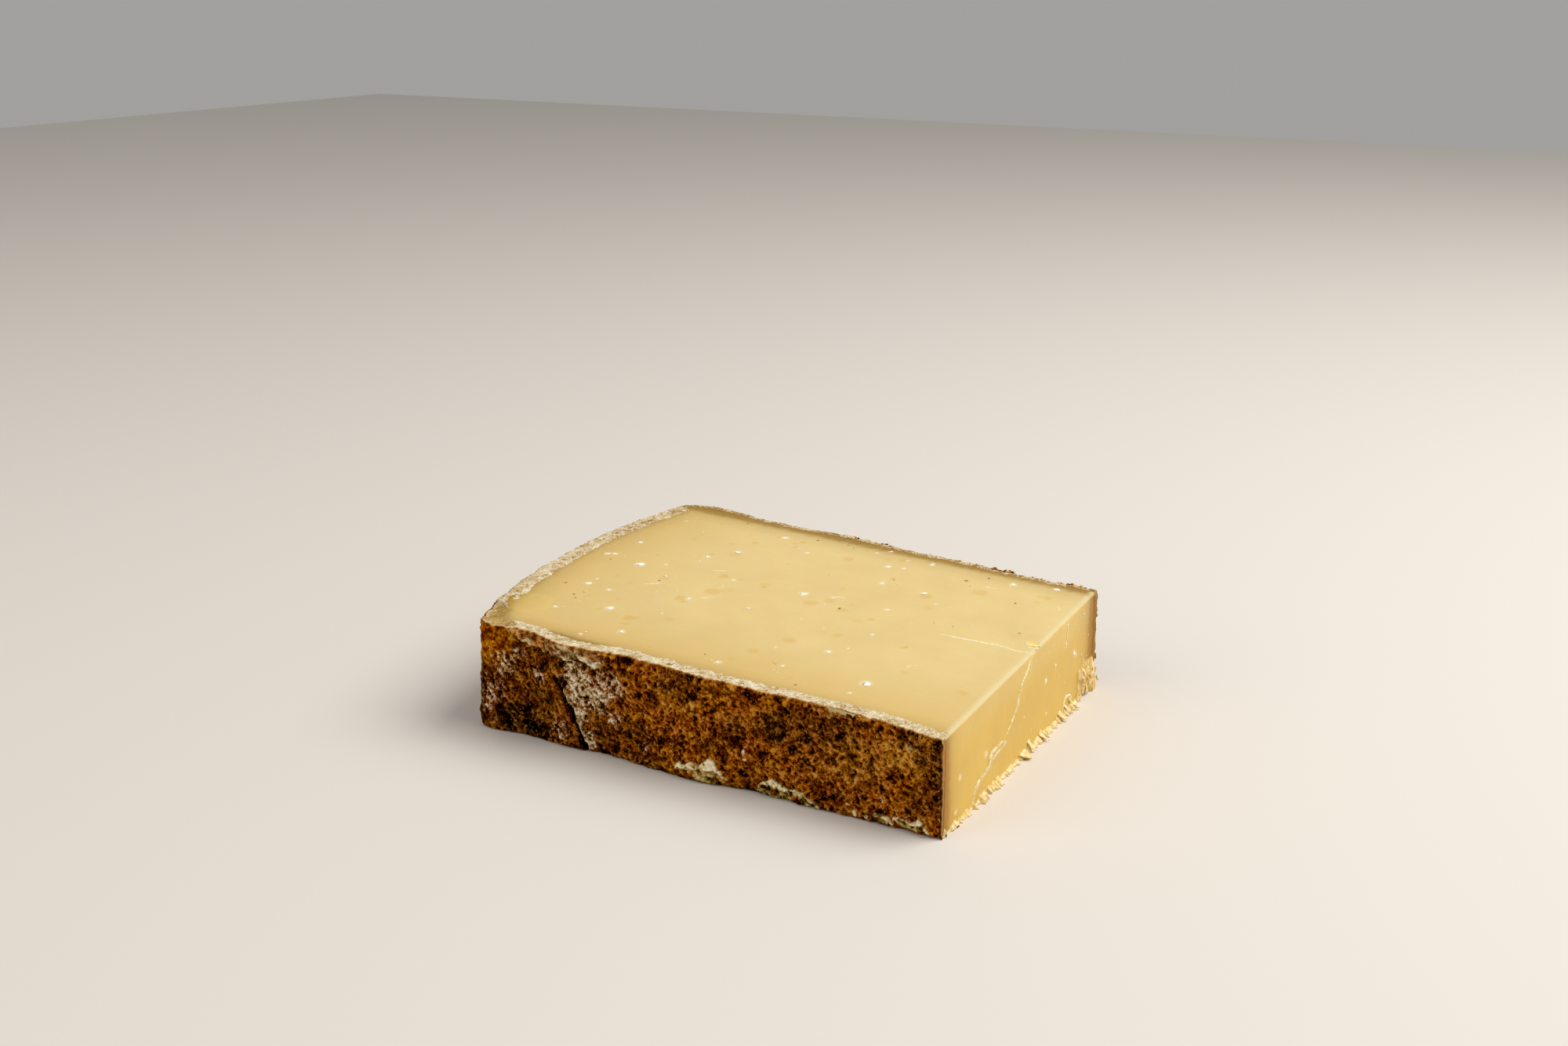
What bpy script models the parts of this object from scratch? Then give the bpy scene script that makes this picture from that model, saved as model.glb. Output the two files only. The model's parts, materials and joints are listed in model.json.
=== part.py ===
"""A piece of comte cheese, cut from the rim of a wheel and lying on one of its cut faces.

Seen from above, X runs along the front rind and Y runs across the wheel, so that the front
and the back are the wheel's two flat sides, the left end is its rounded heel, and the right
end is a plain cut. The top is a second cut, which falls a little towards the right. While it
is being shaped the piece stands with its front left corner near X = 0 and the middle of the
wheel at Y = 0. At the end it is moved so that the origin is under the middle of its box.
"""
import math

import bmesh
import bpy
from mathutils import Vector, noise

MM = 0.001

# Plan of the piece
WHEEL_THICKNESS = 100.0 * MM
FRONT_LEFT_X = -0.7 * MM
FRONT_RIGHT_X = 121.1 * MM
BACK_RIGHT_X = 113.7 * MM
BACK_LEFT_X = -8.0 * MM
HEEL_BULGE = 7.5 * MM
FRONT_CORNER_REACH = 2.8 * MM
BACK_CORNER_REACH = 4.5 * MM

# Plane of the top cut: its height at X = 0, Y = 0, its fall along X and its rise along Y
TOP_HEIGHT = 28.14 * MM
TOP_FALL = 0.037
TOP_RISE = 0.025

# Mesh of the solid: spacing round the outline, and the rings from the bottom to the top cap
POINT_SPACING = 1.62 * MM
WALL_LEVELS = (0.016, 0.05, 0.095, 0.15, 0.22, 0.33, 0.45, 0.57, 0.69, 0.81, 0.92)
TOP_INSETS = (1.4 * MM, 2.8 * MM, 4.4 * MM, 6.8 * MM, 10.0 * MM)
SPINE_START_X = 34.0 * MM
SPINE_END_X = 84.0 * MM

# Edge between wall and top: how far it drops and how far it is set in
RIND_EDGE_DROP = 0.40 * MM
RIND_EDGE_INSET = 0.35 * MM
RUBBED_EDGE_DROP = 1.10 * MM
RUBBED_EDGE_INSET = 0.95 * MM
EDGE_ROUNDING = 0.3
FOOT_INSET = 0.7 * MM

# Slow swells of the rind: centre along X, half width, how far out at the top and at the bottom
FRONT_SWELLS = (
    (26.0 * MM, 13.0 * MM, 2.2 * MM, 0.5 * MM),
    (58.0 * MM, 20.0 * MM, 0.3 * MM, 1.7 * MM),
    (96.0 * MM, 22.0 * MM, -1.6 * MM, 0.2 * MM),
)
BACK_SWELLS = (
    (4.0 * MM, 13.0 * MM, 2.0 * MM, 1.2 * MM),
    (44.0 * MM, 16.0 * MM, 0.9 * MM, 0.5 * MM),
    (98.0 * MM, 22.0 * MM, -0.8 * MM, 0.4 * MM),
)

# Crags of the rind: wave length and height of each layer of relief
CRAG_LAYERS = ((9.0 * MM, 0.50 * MM), (3.6 * MM, 0.42 * MM), (1.9 * MM, 0.22 * MM))
CRAG_LAYER_SHIFT = Vector((17.3, 0.0, 0.0))
CRUST_WIDTH = 3.8 * MM
CRUST_TOP_RELIEF = 0.22 * MM
CRUST_TOP_WAVE = 2.3 * MM

# Beyond this distance from the middle of the wheel a point belongs to a flat side
FLAT_SIDE_Y = 45.0 * MM

# Raised flakes low on the front rind: X, height, half length, half height and how proud
FRONT_FLAKES = (
    (62.0 * MM, 3.6 * MM, 6.0 * MM, 2.2 * MM, 0.9 * MM),
    (82.5 * MM, 2.6 * MM, 8.0 * MM, 2.0 * MM, 0.8 * MM),
    (109.0 * MM, 1.6 * MM, 11.0 * MM, 1.6 * MM, 0.7 * MM),
)

# Crease down the front rind: its X at the top and at the bottom, half width and depth
CREASE_TOP_X = 22.5 * MM
CREASE_BOTTOM_X = 33.5 * MM
CREASE_HALF_WIDTH = 1.8 * MM
CREASE_DEPTH = 0.8 * MM

# Corner broken off the top at the front left: a line across it, a step down and a slope
CHIP_HEEL_POINT = Vector((-3.4 * MM, -38.6 * MM))
CHIP_FRONT_POINT = Vector((10.8 * MM, -50.2 * MM))
CHIP_STEP = 0.9 * MM
CHIP_SLOPE = 0.20
CHIP_RELIEF = 0.22 * MM
CHIP_WAVE = 3.0 * MM

# Torn lip along the foot of the cut end, and the crumbly lump in its back corner
BURR_REACH = 1.5 * MM
BURR_HEIGHT = 3.4 * MM
BURR_WAVES = ((4.2 * MM, 1.4), (1.4 * MM, 0.8))
BURR_LEAST = 0.05
BURR_CURL = 1.6
LUMP_CENTRE_Y = 47.0 * MM
LUMP_HALF_WIDTH = 8.0 * MM
LUMP_HEIGHT = 9.0 * MM
LUMP_REACH = 1.5 * MM
LUMP_CRUMB_WAVE = 2.4 * MM
LUMP_LEAST = 0.6

# Slab that a crack has loosened low on the cut end: ends of the crack line and its height
SLAB_TOP_Y = 2.0 * MM
SLAB_TOP_Z = 24.0 * MM
SLAB_BOTTOM_Y = -33.0 * MM
SLAB_BOTTOM_Z = 2.0 * MM
SLAB_PROUD = 0.35 * MM
SLAB_FADE = 26.0 * MM

# Finishes, in linear colour
RIND_BROWN = (0.144, 0.040, 0.003, 1.0)
RIND_ROUGHNESS = 0.75
PASTE_YELLOW = (0.760, 0.540, 0.190, 1.0)
PASTE_ROUGHNESS = 0.42


def remove_all_objects():
    for item in list(bpy.data.objects):
        bpy.data.objects.remove(item, do_unlink=True)


def make_material(name, colour, roughness):
    material = bpy.data.materials.new(name)
    material.use_nodes = True
    shader = material.node_tree.nodes["Principled BSDF"]
    shader.inputs["Base Color"].default_value = colour
    shader.inputs["Roughness"].default_value = roughness
    shader.inputs["Metallic"].default_value = 0.0
    return material


def straight_side(start, end):
    """Evenly spaced points from start up to, but not including, end."""
    count = max(2, round((end - start).length / POINT_SPACING))
    return [start.lerp(end, step / count) for step in range(count)]


def heel_point(share):
    """Point on the shallow arc of the heel, from its back corner (0) to its front corner (1)."""
    back = Vector((BACK_LEFT_X, WHEEL_THICKNESS / 2))
    front = Vector((FRONT_LEFT_X, -WHEEL_THICKNESS / 2))
    chord = front - back
    radius = (chord.length**2 / 4 + HEEL_BULGE**2) / (2 * HEEL_BULGE)
    along = (share - 0.5) * chord.length
    bulge = math.sqrt(radius**2 - along**2) - (radius - HEEL_BULGE)
    outward = Vector((chord.y, -chord.x)).normalized()
    return back.lerp(front, share) + outward * bulge


def round_corner(start, corner, end):
    """Points on a curve from start to end, drawn towards the corner, without the last one."""
    count = max(3, round(((corner - start).length + (end - corner).length) / POINT_SPACING))
    points = []
    for step in range(count):
        share = step / count
        points.append(start.lerp(corner, share).lerp(corner.lerp(end, share), share))
    return points


def plan_outline():
    """Points round the piece, counter-clockwise from above, and how far each is rind."""
    half = WHEEL_THICKNESS / 2
    front_left = Vector((FRONT_LEFT_X, -half))
    front_right = Vector((FRONT_RIGHT_X, -half))
    back_right = Vector((BACK_RIGHT_X, half))
    back_left = Vector((BACK_LEFT_X, half))
    heel_length = (front_left - back_left).length
    heel_start = BACK_CORNER_REACH / heel_length
    heel_end = 1.0 - FRONT_CORNER_REACH / heel_length
    front_start = front_left + Vector((FRONT_CORNER_REACH, 0.0))
    back_end = back_left + Vector((BACK_CORNER_REACH, 0.0))

    front = straight_side(front_start, front_right)
    cut = straight_side(front_right, back_right)
    back = straight_side(back_right, back_end)
    back_corner = round_corner(back_end, back_left, heel_point(heel_start))
    heel_count = round(heel_length * (heel_end - heel_start) / POINT_SPACING)
    heel = []
    for step in range(heel_count):
        heel.append(heel_point(heel_start + (heel_end - heel_start) * step / heel_count))
    front_corner = round_corner(heel_point(heel_end), front_left, front_start)

    points = front + cut + back + back_corner + heel + front_corner
    cut_first = len(front) + 1
    cut_last = len(front) + len(cut) - 1
    rind = [0.0 if cut_first <= index <= cut_last else 1.0 for index in range(len(points))]
    return points, rind


def outward_normals(points):
    normals = []
    for index, point in enumerate(points):
        before = points[index - 1]
        after = points[(index + 1) % len(points)]
        first = Vector(((point - before).y, -(point - before).x)).normalized()
        second = Vector(((after - point).y, -(after - point).x)).normalized()
        normals.append((first + second).normalized())
    return normals


def hill(distance, half_width):
    """A smooth bump: 1 in the middle, 0 from half_width on."""
    share = min(abs(distance) / half_width, 1.0)
    return (1.0 - share**2) ** 2


def layered_noise(place, layers):
    total = 0.0
    for number, (wave, height) in enumerate(layers):
        total += height * noise.noise(place / wave + CRAG_LAYER_SHIFT * number)
    return total


def top_height(x, y):
    return TOP_HEIGHT - TOP_FALL * x + TOP_RISE * y


def swells(x, share, table):
    total = 0.0
    for centre, half_width, at_top, at_bottom in table:
        total += hill(x - centre, half_width) * (at_bottom + (at_top - at_bottom) * share)
    return total


def crease(x, share):
    middle = CREASE_BOTTOM_X + (CREASE_TOP_X - CREASE_BOTTOM_X) * share
    return -CREASE_DEPTH * hill(x - middle, CREASE_HALF_WIDTH)


def flakes(x, z):
    total = 0.0
    for centre, height, half_length, half_height, proud in FRONT_FLAKES:
        total = max(total, proud * hill(x - centre, half_length) * hill(z - height, half_height))
    return total


def rind_offset(point, z, share):
    """How far the rind stands out from the plain outline."""
    place = Vector((point.x, point.y, z))
    total = layered_noise(place, CRAG_LAYERS)
    if point.y < -FLAT_SIDE_Y:
        total += swells(point.x, share, FRONT_SWELLS)
        total += crease(point.x, share)
        total += flakes(point.x, z)
    if point.y > FLAT_SIDE_Y:
        total += swells(point.x, share, BACK_SWELLS)
        lump = hill(point.x - BACK_RIGHT_X, LUMP_HALF_WIDTH) * hill(z, LUMP_HEIGHT)
        total += LUMP_REACH * lump
    return total


def cut_offset(point, z):
    """How far the cut end stands out: the torn lip at its foot, the lump and the loose slab."""
    ragged = BURR_LEAST
    for number, (wave, share) in enumerate(BURR_WAVES):
        ragged += share * abs(noise.noise(Vector((point.y / wave, number + 0.4, 2.2))))
    lip = BURR_REACH * min(1.0, ragged) * max(0.0, 1.0 - z / BURR_HEIGHT) ** BURR_CURL
    crumbs = LUMP_LEAST + abs(noise.noise(Vector((0.0, point.y, z)) / LUMP_CRUMB_WAVE))
    lump = LUMP_REACH * hill(point.y - LUMP_CENTRE_Y, LUMP_HALF_WIDTH) * hill(z, LUMP_HEIGHT)
    crack_share = (z - SLAB_BOTTOM_Z) / (SLAB_TOP_Z - SLAB_BOTTOM_Z)
    crack_y = SLAB_BOTTOM_Y + (SLAB_TOP_Y - SLAB_BOTTOM_Y) * crack_share
    behind = point.y - crack_y
    slab = 0.0
    if 0.0 < behind < SLAB_FADE and z < SLAB_TOP_Z:
        slab = SLAB_PROUD * (1.0 - behind / SLAB_FADE)
    return max(lip, lump * crumbs) + slab


def chip_limit(x, y):
    """Height that the broken corner leaves at a place, or None where nothing is broken off."""
    along = CHIP_FRONT_POINT - CHIP_HEEL_POINT
    outward = Vector((along.y, -along.x)).normalized()
    distance = (Vector((x, y)) - CHIP_HEEL_POINT).dot(outward)
    if distance <= 0.0:
        return None
    return top_height(x, y) - CHIP_STEP - CHIP_SLOPE * distance


def spine_point(point):
    """Nearest point of the middle line that the rings of the top close in on."""
    return Vector((min(max(point.x, SPINE_START_X), SPINE_END_X), 0.0))


def wall_ring(points, rind, normals, level):
    ring = []
    for point, crust, normal in zip(points, rind, normals):
        drop = RIND_EDGE_DROP if crust else RUBBED_EDGE_DROP
        z = (top_height(point.x, point.y) - drop) * level
        offset = rind_offset(point, z, level) if crust else cut_offset(point, z)
        moved = point + normal * offset
        limit = chip_limit(moved.x, moved.y)
        if limit is not None:
            z = min(z, limit * level)
        ring.append(Vector((moved.x, moved.y, z)))
    return ring


def top_ring(edge, rind, inset):
    """A ring of the top cut, set in from the upper edge of the walls."""
    ring = []
    for corner, crust in zip(edge, rind):
        start = corner.xy
        inwards = (spine_point(start) - start).normalized()
        edge_inset = RIND_EDGE_INSET if crust else RUBBED_EDGE_INSET
        moved = start + inwards * max(inset, edge_inset)
        z = top_height(moved.x, moved.y)
        if inset < edge_inset:
            z -= EDGE_ROUNDING * (RIND_EDGE_DROP if crust else RUBBED_EDGE_DROP)
        if crust and inset < CRUST_WIDTH:
            place = Vector((moved.x, moved.y, 0.0))
            z += CRUST_TOP_RELIEF * noise.noise(place / CRUST_TOP_WAVE)
        limit = chip_limit(moved.x, moved.y)
        if limit is not None:
            z = min(z, limit + CHIP_RELIEF * noise.noise(moved.to_3d() / CHIP_WAVE))
        ring.append(Vector((moved.x, moved.y, z)))
    return ring


def foot_ring(lowest):
    """The edge of the flat underside, a little in from the lowest ring of the walls."""
    ring = []
    for corner in lowest:
        start = corner.xy
        inwards = (spine_point(start) - start).normalized()
        moved = start + inwards * FOOT_INSET
        ring.append(Vector((moved.x, moved.y, 0.0)))
    return ring


def bridge_rings(mesh, lower, upper, materials):
    for index in range(len(lower)):
        after = (index + 1) % len(lower)
        face = mesh.faces.new((lower[index], lower[after], upper[after], upper[index]))
        face.material_index = materials[index]


def build_piece():
    points, rind = plan_outline()
    normals = outward_normals(points)
    walls = [wall_ring(points, rind, normals, level) for level in WALL_LEVELS]
    edge = wall_ring(points, rind, normals, 1.0)
    tops = [top_ring(edge, rind, inset) for inset in (0.0,) + TOP_INSETS]
    rings = [foot_ring(walls[0])] + walls + [edge] + tops

    lows = [min(point[axis] for ring in rings for point in ring) for axis in range(3)]
    highs = [max(point[axis] for ring in rings for point in ring) for axis in range(3)]
    shift = Vector(((lows[0] + highs[0]) / 2, (lows[1] + highs[1]) / 2, lows[2]))

    shape = bmesh.new()
    loops = [[shape.verts.new(point - shift) for point in ring] for ring in rings]
    wall_materials = []
    for index in range(len(points)):
        after = (index + 1) % len(points)
        wall_materials.append(0 if rind[index] and rind[after] else 1)
    top_materials = [1] * len(points)
    first_top = 1 + len(walls)
    for number in range(len(loops) - 1):
        materials = wall_materials if 0 < number < first_top else top_materials
        bridge_rings(shape, loops[number], loops[number + 1], materials)
    underside = shape.faces.new(list(reversed(loops[0])))
    underside.material_index = 1
    cap = shape.faces.new(loops[-1])
    cap.material_index = 1
    bmesh.ops.triangulate(shape, faces=shape.faces, quad_method="BEAUTY", ngon_method="BEAUTY")

    mesh = bpy.data.meshes.new("cheese_piece")
    shape.to_mesh(mesh)
    shape.free()
    mesh.materials.append(make_material("washed rind", RIND_BROWN, RIND_ROUGHNESS))
    mesh.materials.append(make_material("cut paste", PASTE_YELLOW, PASTE_ROUGHNESS))
    piece = bpy.data.objects.new("cheese_piece", mesh)
    bpy.context.scene.collection.objects.link(piece)
    return piece


remove_all_objects()
build_piece()
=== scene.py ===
# %% [markdown]
# # A piece of comte cheese
#
# This is a thick flat piece from the rim of a pressed cheese wheel. It lies on one cut face and
# shows another on top. The front, the back and the rounded left end are rind, and the right end
# is a plain cut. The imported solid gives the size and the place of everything. Around it this
# lesson builds the paste, the crust in three lengths, the crystals, the cracks and the torn foot.

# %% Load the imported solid
import json
import math
import random

import bmesh
import bpy
import numpy as np
from mathutils import Euler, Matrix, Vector, noise

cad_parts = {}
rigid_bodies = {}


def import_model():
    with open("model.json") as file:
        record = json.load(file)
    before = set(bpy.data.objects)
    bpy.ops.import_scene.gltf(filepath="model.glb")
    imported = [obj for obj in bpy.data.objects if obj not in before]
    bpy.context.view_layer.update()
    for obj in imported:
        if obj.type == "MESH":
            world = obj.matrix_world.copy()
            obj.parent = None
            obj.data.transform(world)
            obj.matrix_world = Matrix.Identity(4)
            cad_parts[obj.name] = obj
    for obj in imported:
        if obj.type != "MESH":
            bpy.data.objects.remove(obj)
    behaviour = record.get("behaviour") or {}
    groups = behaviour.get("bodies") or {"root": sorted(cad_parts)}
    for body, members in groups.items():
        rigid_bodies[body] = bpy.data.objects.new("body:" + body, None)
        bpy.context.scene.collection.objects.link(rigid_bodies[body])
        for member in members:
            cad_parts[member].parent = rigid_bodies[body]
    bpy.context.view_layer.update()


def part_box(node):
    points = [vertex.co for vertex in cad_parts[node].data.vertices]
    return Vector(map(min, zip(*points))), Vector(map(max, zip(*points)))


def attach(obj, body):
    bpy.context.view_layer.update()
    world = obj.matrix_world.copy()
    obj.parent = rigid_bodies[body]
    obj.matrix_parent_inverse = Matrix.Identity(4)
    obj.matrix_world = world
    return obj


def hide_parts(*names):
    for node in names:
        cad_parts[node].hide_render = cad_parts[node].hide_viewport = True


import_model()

MM = 0.001
CHEESE = "cheese_piece"
LOW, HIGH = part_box(CHEESE)
print("packed solid in mm:", [round(size / MM, 1) for size in HIGH - LOW])

# %% [markdown]
# ## The plan of the piece
#
# Everything is easier to place from the cheese's own corners than from the middle of its box, so
# the lesson works in a plan frame: X runs along the front rind from its left corner, and Y runs
# across the wheel from its middle. The heel is a shallow arc, and the two left corners are
# curves that bend towards the sharp corner.

# %% Driving sizes, the same as those of the solid
HALF_WHEEL = 50.0 * MM
FRONT_LEFT_X = -0.7 * MM
FRONT_RIGHT_X = 121.1 * MM
BACK_RIGHT_X = 113.7 * MM
BACK_LEFT_X = -8.0 * MM
HEEL_BULGE = 7.5 * MM
FRONT_CORNER_REACH = 2.8 * MM
BACK_CORNER_REACH = 4.5 * MM
TOP_HEIGHT = 28.14 * MM
TOP_FALL = 0.037
TOP_RISE = 0.025

# The solid's box starts this far left of and in front of the plan frame's origin
HEEL_REACH = 12.79 * MM
FRONT_REACH = 52.40 * MM
PLAN_ORIGIN = np.array([LOW.x + HEEL_REACH, LOW.y + FRONT_REACH, LOW.z])


def top_height(x, y):
    return TOP_HEIGHT - TOP_FALL * x + TOP_RISE * y


def cut_x(y):
    """X of the plain cut at the right end."""
    share = (y + HALF_WHEEL) / (2 * HALF_WHEEL)
    return FRONT_RIGHT_X + (BACK_RIGHT_X - FRONT_RIGHT_X) * share


def heel_arc(share):
    """Points of the heel from its back corner (0) to its front corner (1)."""
    back = np.array([BACK_LEFT_X, HALF_WHEEL])
    front = np.array([FRONT_LEFT_X, -HALF_WHEEL])
    chord = front - back
    length = np.linalg.norm(chord)
    radius = (length**2 / 4 + HEEL_BULGE**2) / (2 * HEEL_BULGE)
    bulge = np.sqrt(radius**2 - ((share - 0.5) * length) ** 2) - (radius - HEEL_BULGE)
    outward = np.array([chord[1], -chord[0]]) / length
    return back + np.outer(share, chord) + np.outer(bulge, outward)


def corner_curve(start, corner, end, count=24):
    share = np.linspace(0.0, 1.0, count)[:, None]
    return (1 - share) ** 2 * start + 2 * share * (1 - share) * corner + share**2 * end


# %% The line of the rind, from the back right corner round the heel to the front right corner
PATH_STEP = 0.25 * MM
WALL_SMOOTHING = 0.8 * MM
INWARD_SMOOTHING = 3.0 * MM
END_BLEND = 8.0 * MM


def rind_path():
    back_left = np.array([BACK_LEFT_X, HALF_WHEEL])
    front_left = np.array([FRONT_LEFT_X, -HALF_WHEEL])
    heel_length = np.linalg.norm(front_left - back_left)
    heel_start = BACK_CORNER_REACH / heel_length
    heel_end = 1.0 - FRONT_CORNER_REACH / heel_length
    heel = heel_arc(np.linspace(heel_start, heel_end, 300))
    back_end = back_left + np.array([BACK_CORNER_REACH, 0.0])
    front_start = front_left + np.array([FRONT_CORNER_REACH, 0.0])
    rough = np.vstack([
        [[BACK_RIGHT_X, HALF_WHEEL]],
        corner_curve(back_end, back_left, heel[0]),
        heel[1:-1],
        corner_curve(heel[-1], front_left, front_start),
        [[FRONT_RIGHT_X, -HALF_WHEEL]],
    ])
    gone = np.concatenate([[0.0], np.cumsum(np.linalg.norm(np.diff(rough, axis=0), axis=1))])
    along = np.linspace(0.0, gone[-1], int(gone[-1] / PATH_STEP) + 1)
    return along, np.stack([np.interp(along, gone, rough[:, axis]) for axis in range(2)], axis=1)


def unit(vectors):
    return vectors / np.linalg.norm(vectors, axis=1)[:, None]


def smoothed(vectors, reach):
    half = int(reach / PATH_STEP)
    padded = np.pad(vectors, ((half, half), (0, 0)), mode="edge")
    window = np.ones(2 * half + 1) / (2 * half + 1)
    return np.stack([np.convolve(padded[:, axis], window, "valid") for axis in range(2)], axis=1)


PATH_S, PATH_XY = rind_path()
PATH_LENGTH = PATH_S[-1]
TANGENT = unit(np.gradient(PATH_XY, axis=0))
OUTWARD = unit(smoothed(np.stack([TANGENT[:, 1], -TANGENT[:, 0]], axis=1), WALL_SMOOTHING))

# Near both ends the crust grows along the plain cut, so that its cut end stays flat
CUT_LINE = unit(np.array([[BACK_RIGHT_X - FRONT_RIGHT_X, 2 * HALF_WHEEL]]))
for end_s, direction in ((0.0, CUT_LINE), (PATH_LENGTH, -CUT_LINE)):
    nearness = np.clip(1.0 - np.abs(PATH_S - end_s) / END_BLEND, 0.0, 1.0)[:, None]
    OUTWARD = unit(OUTWARD * (1 - nearness) + direction * nearness)
INWARD = -unit(smoothed(OUTWARD, INWARD_SMOOTHING))


def on_path(values, s):
    return np.stack([np.interp(s, PATH_S, values[:, axis]) for axis in range(2)], axis=1)


print("line of the rind in mm:", round(PATH_LENGTH / MM, 1))

# %% [markdown]
# ## Relief by noise
#
# A rind has relief at several sizes at once: slow swells, crags, grain and pits. Each is a layer
# of noise that is read at a point in space, so neighbouring pieces that meet get the same relief
# where they touch. The swells and crags are the solid's own, which keeps the crust on its form.

# %% Noise helpers
CRAG_LAYERS = ((9.0 * MM, 0.50 * MM), (3.6 * MM, 0.42 * MM), (1.9 * MM, 0.22 * MM))
CRAG_LAYER_SHIFT = Vector((17.3, 0.0, 0.0))

# Noise is read turned, or the lattice that it is made on shows as a weave on a flat wall
NOISE_TURN = (0.5, 0.9, 0.3)
TURNED = np.array(Euler(NOISE_TURN).to_matrix())


def noise_at(points, wave, seed=0.0):
    """Smooth noise from about -1 to 1 at each point, with bumps about as wide as wave."""
    shift = Vector((seed, 0.37 * seed, -0.61 * seed))
    return np.array([noise.noise(Vector(point) / wave + shift) for point in points @ TURNED])


def cells_at(points, wave, seed=0.0):
    """Rounded grains about as wide as wave: 1 at the middle of a grain, 0 between grains."""
    shift = Vector((seed, 1.7 * seed, -0.4 * seed))
    near = np.array([noise.voronoi(Vector(point) / wave + shift)[0][:2] for point in points])
    return np.clip((near[:, 1] - near[:, 0]) * 1.6, 0.0, 1.0)


def crags_at(points):
    total = np.zeros(len(points))
    for number, (wave, height) in enumerate(CRAG_LAYERS):
        shift = CRAG_LAYER_SHIFT * number
        total += height * np.array([noise.noise(Vector(point) / wave + shift) for point in points])
    return total


def hill(distance, half_width):
    """A smooth bump: 1 in the middle, 0 from half_width on."""
    return (1.0 - np.clip(np.abs(distance) / half_width, 0.0, 1.0) ** 2) ** 2


def rise(values, start, end):
    """A smooth step from 0 at start to 1 at end."""
    share = np.clip((values - start) / (end - start), 0.0, 1.0)
    return share * share * (3 - 2 * share)


# %% Slow swells of the rind: centre along X, half width, how far out at the top and at the foot
FRONT_SWELLS = (
    (26.0 * MM, 13.0 * MM, 2.2 * MM, 0.5 * MM),
    (58.0 * MM, 20.0 * MM, 0.3 * MM, 1.7 * MM),
    (96.0 * MM, 22.0 * MM, -1.6 * MM, 0.2 * MM),
)
BACK_SWELLS = (
    (4.0 * MM, 13.0 * MM, 2.0 * MM, 1.2 * MM),
    (44.0 * MM, 16.0 * MM, 0.9 * MM, 0.5 * MM),
    (98.0 * MM, 22.0 * MM, -0.8 * MM, 0.4 * MM),
)
FLAT_SIDE_Y = 45.0 * MM


def swells(x, share, table):
    total = np.zeros(len(x))
    for centre, half_width, at_top, at_foot in table:
        total += hill(x - centre, half_width) * (at_foot + (at_top - at_foot) * share)
    return total


def least_swell(x, table):
    """The swell at whichever of the top and the foot it reaches out less."""
    return np.minimum(swells(x, np.ones(len(x)), table), swells(x, np.zeros(len(x)), table))


# %% [markdown]
# ## Working by hand, in code
#
# Every piece starts as a primitive at its size and place, is extruded and filled in edit mode,
# and then has its points moved to the uneven form of the real thing. The helpers below pick
# edges by their place, as a modeller picks them with the mouse.

# %% Helpers for edit mode and for finished pieces
PIECES = []
TOUCH = 1e-6


def deselect_all():
    for item in bpy.context.view_layer.objects:
        item.select_set(False)


def only(piece):
    deselect_all()
    piece.select_set(True)
    bpy.context.view_layer.objects.active = piece


def flat_grid(name, across, along, steps_across, steps_along, place, turned=(0.0, 0.0, 0.0)):
    """A grid at its size and place, left in edit mode."""
    deselect_all()
    bpy.ops.mesh.primitive_grid_add(
        x_subdivisions=steps_across, y_subdivisions=steps_along, size=1.0,
        location=place, rotation=turned,
    )
    piece = bpy.context.active_object
    piece.name = name
    piece.scale = (across, along, 1.0)
    bpy.ops.object.transform_apply(location=True, rotation=True, scale=True)
    bpy.ops.object.mode_set(mode="EDIT")
    return piece


def pick_edges(piece, test):
    """Selects just the edges whose two ends both pass the test."""
    bpy.ops.mesh.select_all(action="DESELECT")
    mesh = bmesh.from_edit_mesh(piece.data)
    for edge in mesh.edges:
        if test(edge.verts[0].co) and test(edge.verts[1].co):
            edge.select_set(True)
    mesh.select_flush_mode()
    bmesh.update_edit_mesh(piece.data)


def extrude_by(offset):
    bpy.ops.mesh.extrude_region_move(TRANSFORM_OT_translate={"value": offset})


def close_up():
    """Merges what meets, fills what is left open and turns all faces outwards."""
    bpy.ops.mesh.select_all(action="SELECT")
    bpy.ops.mesh.remove_doubles(threshold=0.01 * MM)
    bpy.ops.mesh.select_all(action="DESELECT")
    bpy.ops.mesh.select_non_manifold(extend=False)
    bpy.ops.mesh.fill_holes(sides=0)
    bpy.ops.mesh.select_all(action="SELECT")
    bpy.ops.mesh.normals_make_consistent(inside=False)
    bpy.ops.object.mode_set(mode="OBJECT")


def get_points(piece):
    points = np.empty(len(piece.data.vertices) * 3)
    piece.data.vertices.foreach_get("co", points)
    return points.reshape(-1, 3)


def move_points(piece, points):
    """Moves a piece's points within the frame that they are in."""
    piece.data.vertices.foreach_set("co", points.astype(np.float32).ravel())
    piece.data.update()


def set_points(piece, points):
    """Moves a piece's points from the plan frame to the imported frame, inside the solid's box."""
    move_points(piece, np.clip(points + PLAN_ORIGIN, np.array(LOW), np.array(HIGH)))


def set_attributes(piece, table):
    """Gives each point of a piece a value under each name of the table."""
    for name, values in table.items():
        attribute = piece.data.attributes.new(name, "FLOAT", "POINT")
        attribute.data.foreach_set("value", values.astype(np.float32))


def finish_piece(piece, material, replaced=False):
    only(piece)
    bpy.ops.object.shade_smooth()
    piece.data.materials.clear()
    piece.data.materials.append(material)
    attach(piece, "root")
    if replaced:
        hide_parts(CHEESE)
    PIECES.append(piece)
    triangles = sum(len(face.vertices) - 2 for face in piece.data.polygons)
    print(piece.name, "triangles:", triangles)


# %% [markdown]
# ## Materials
#
# The paste is a waxy, slightly see-through solid that a wire has cut smooth. The rind is dry and
# grainy, brown from months of brushing with brine. Colours are written as the hex values that an
# eye dropper shows, and one function turns them to the linear values that the shader wants.

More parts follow.
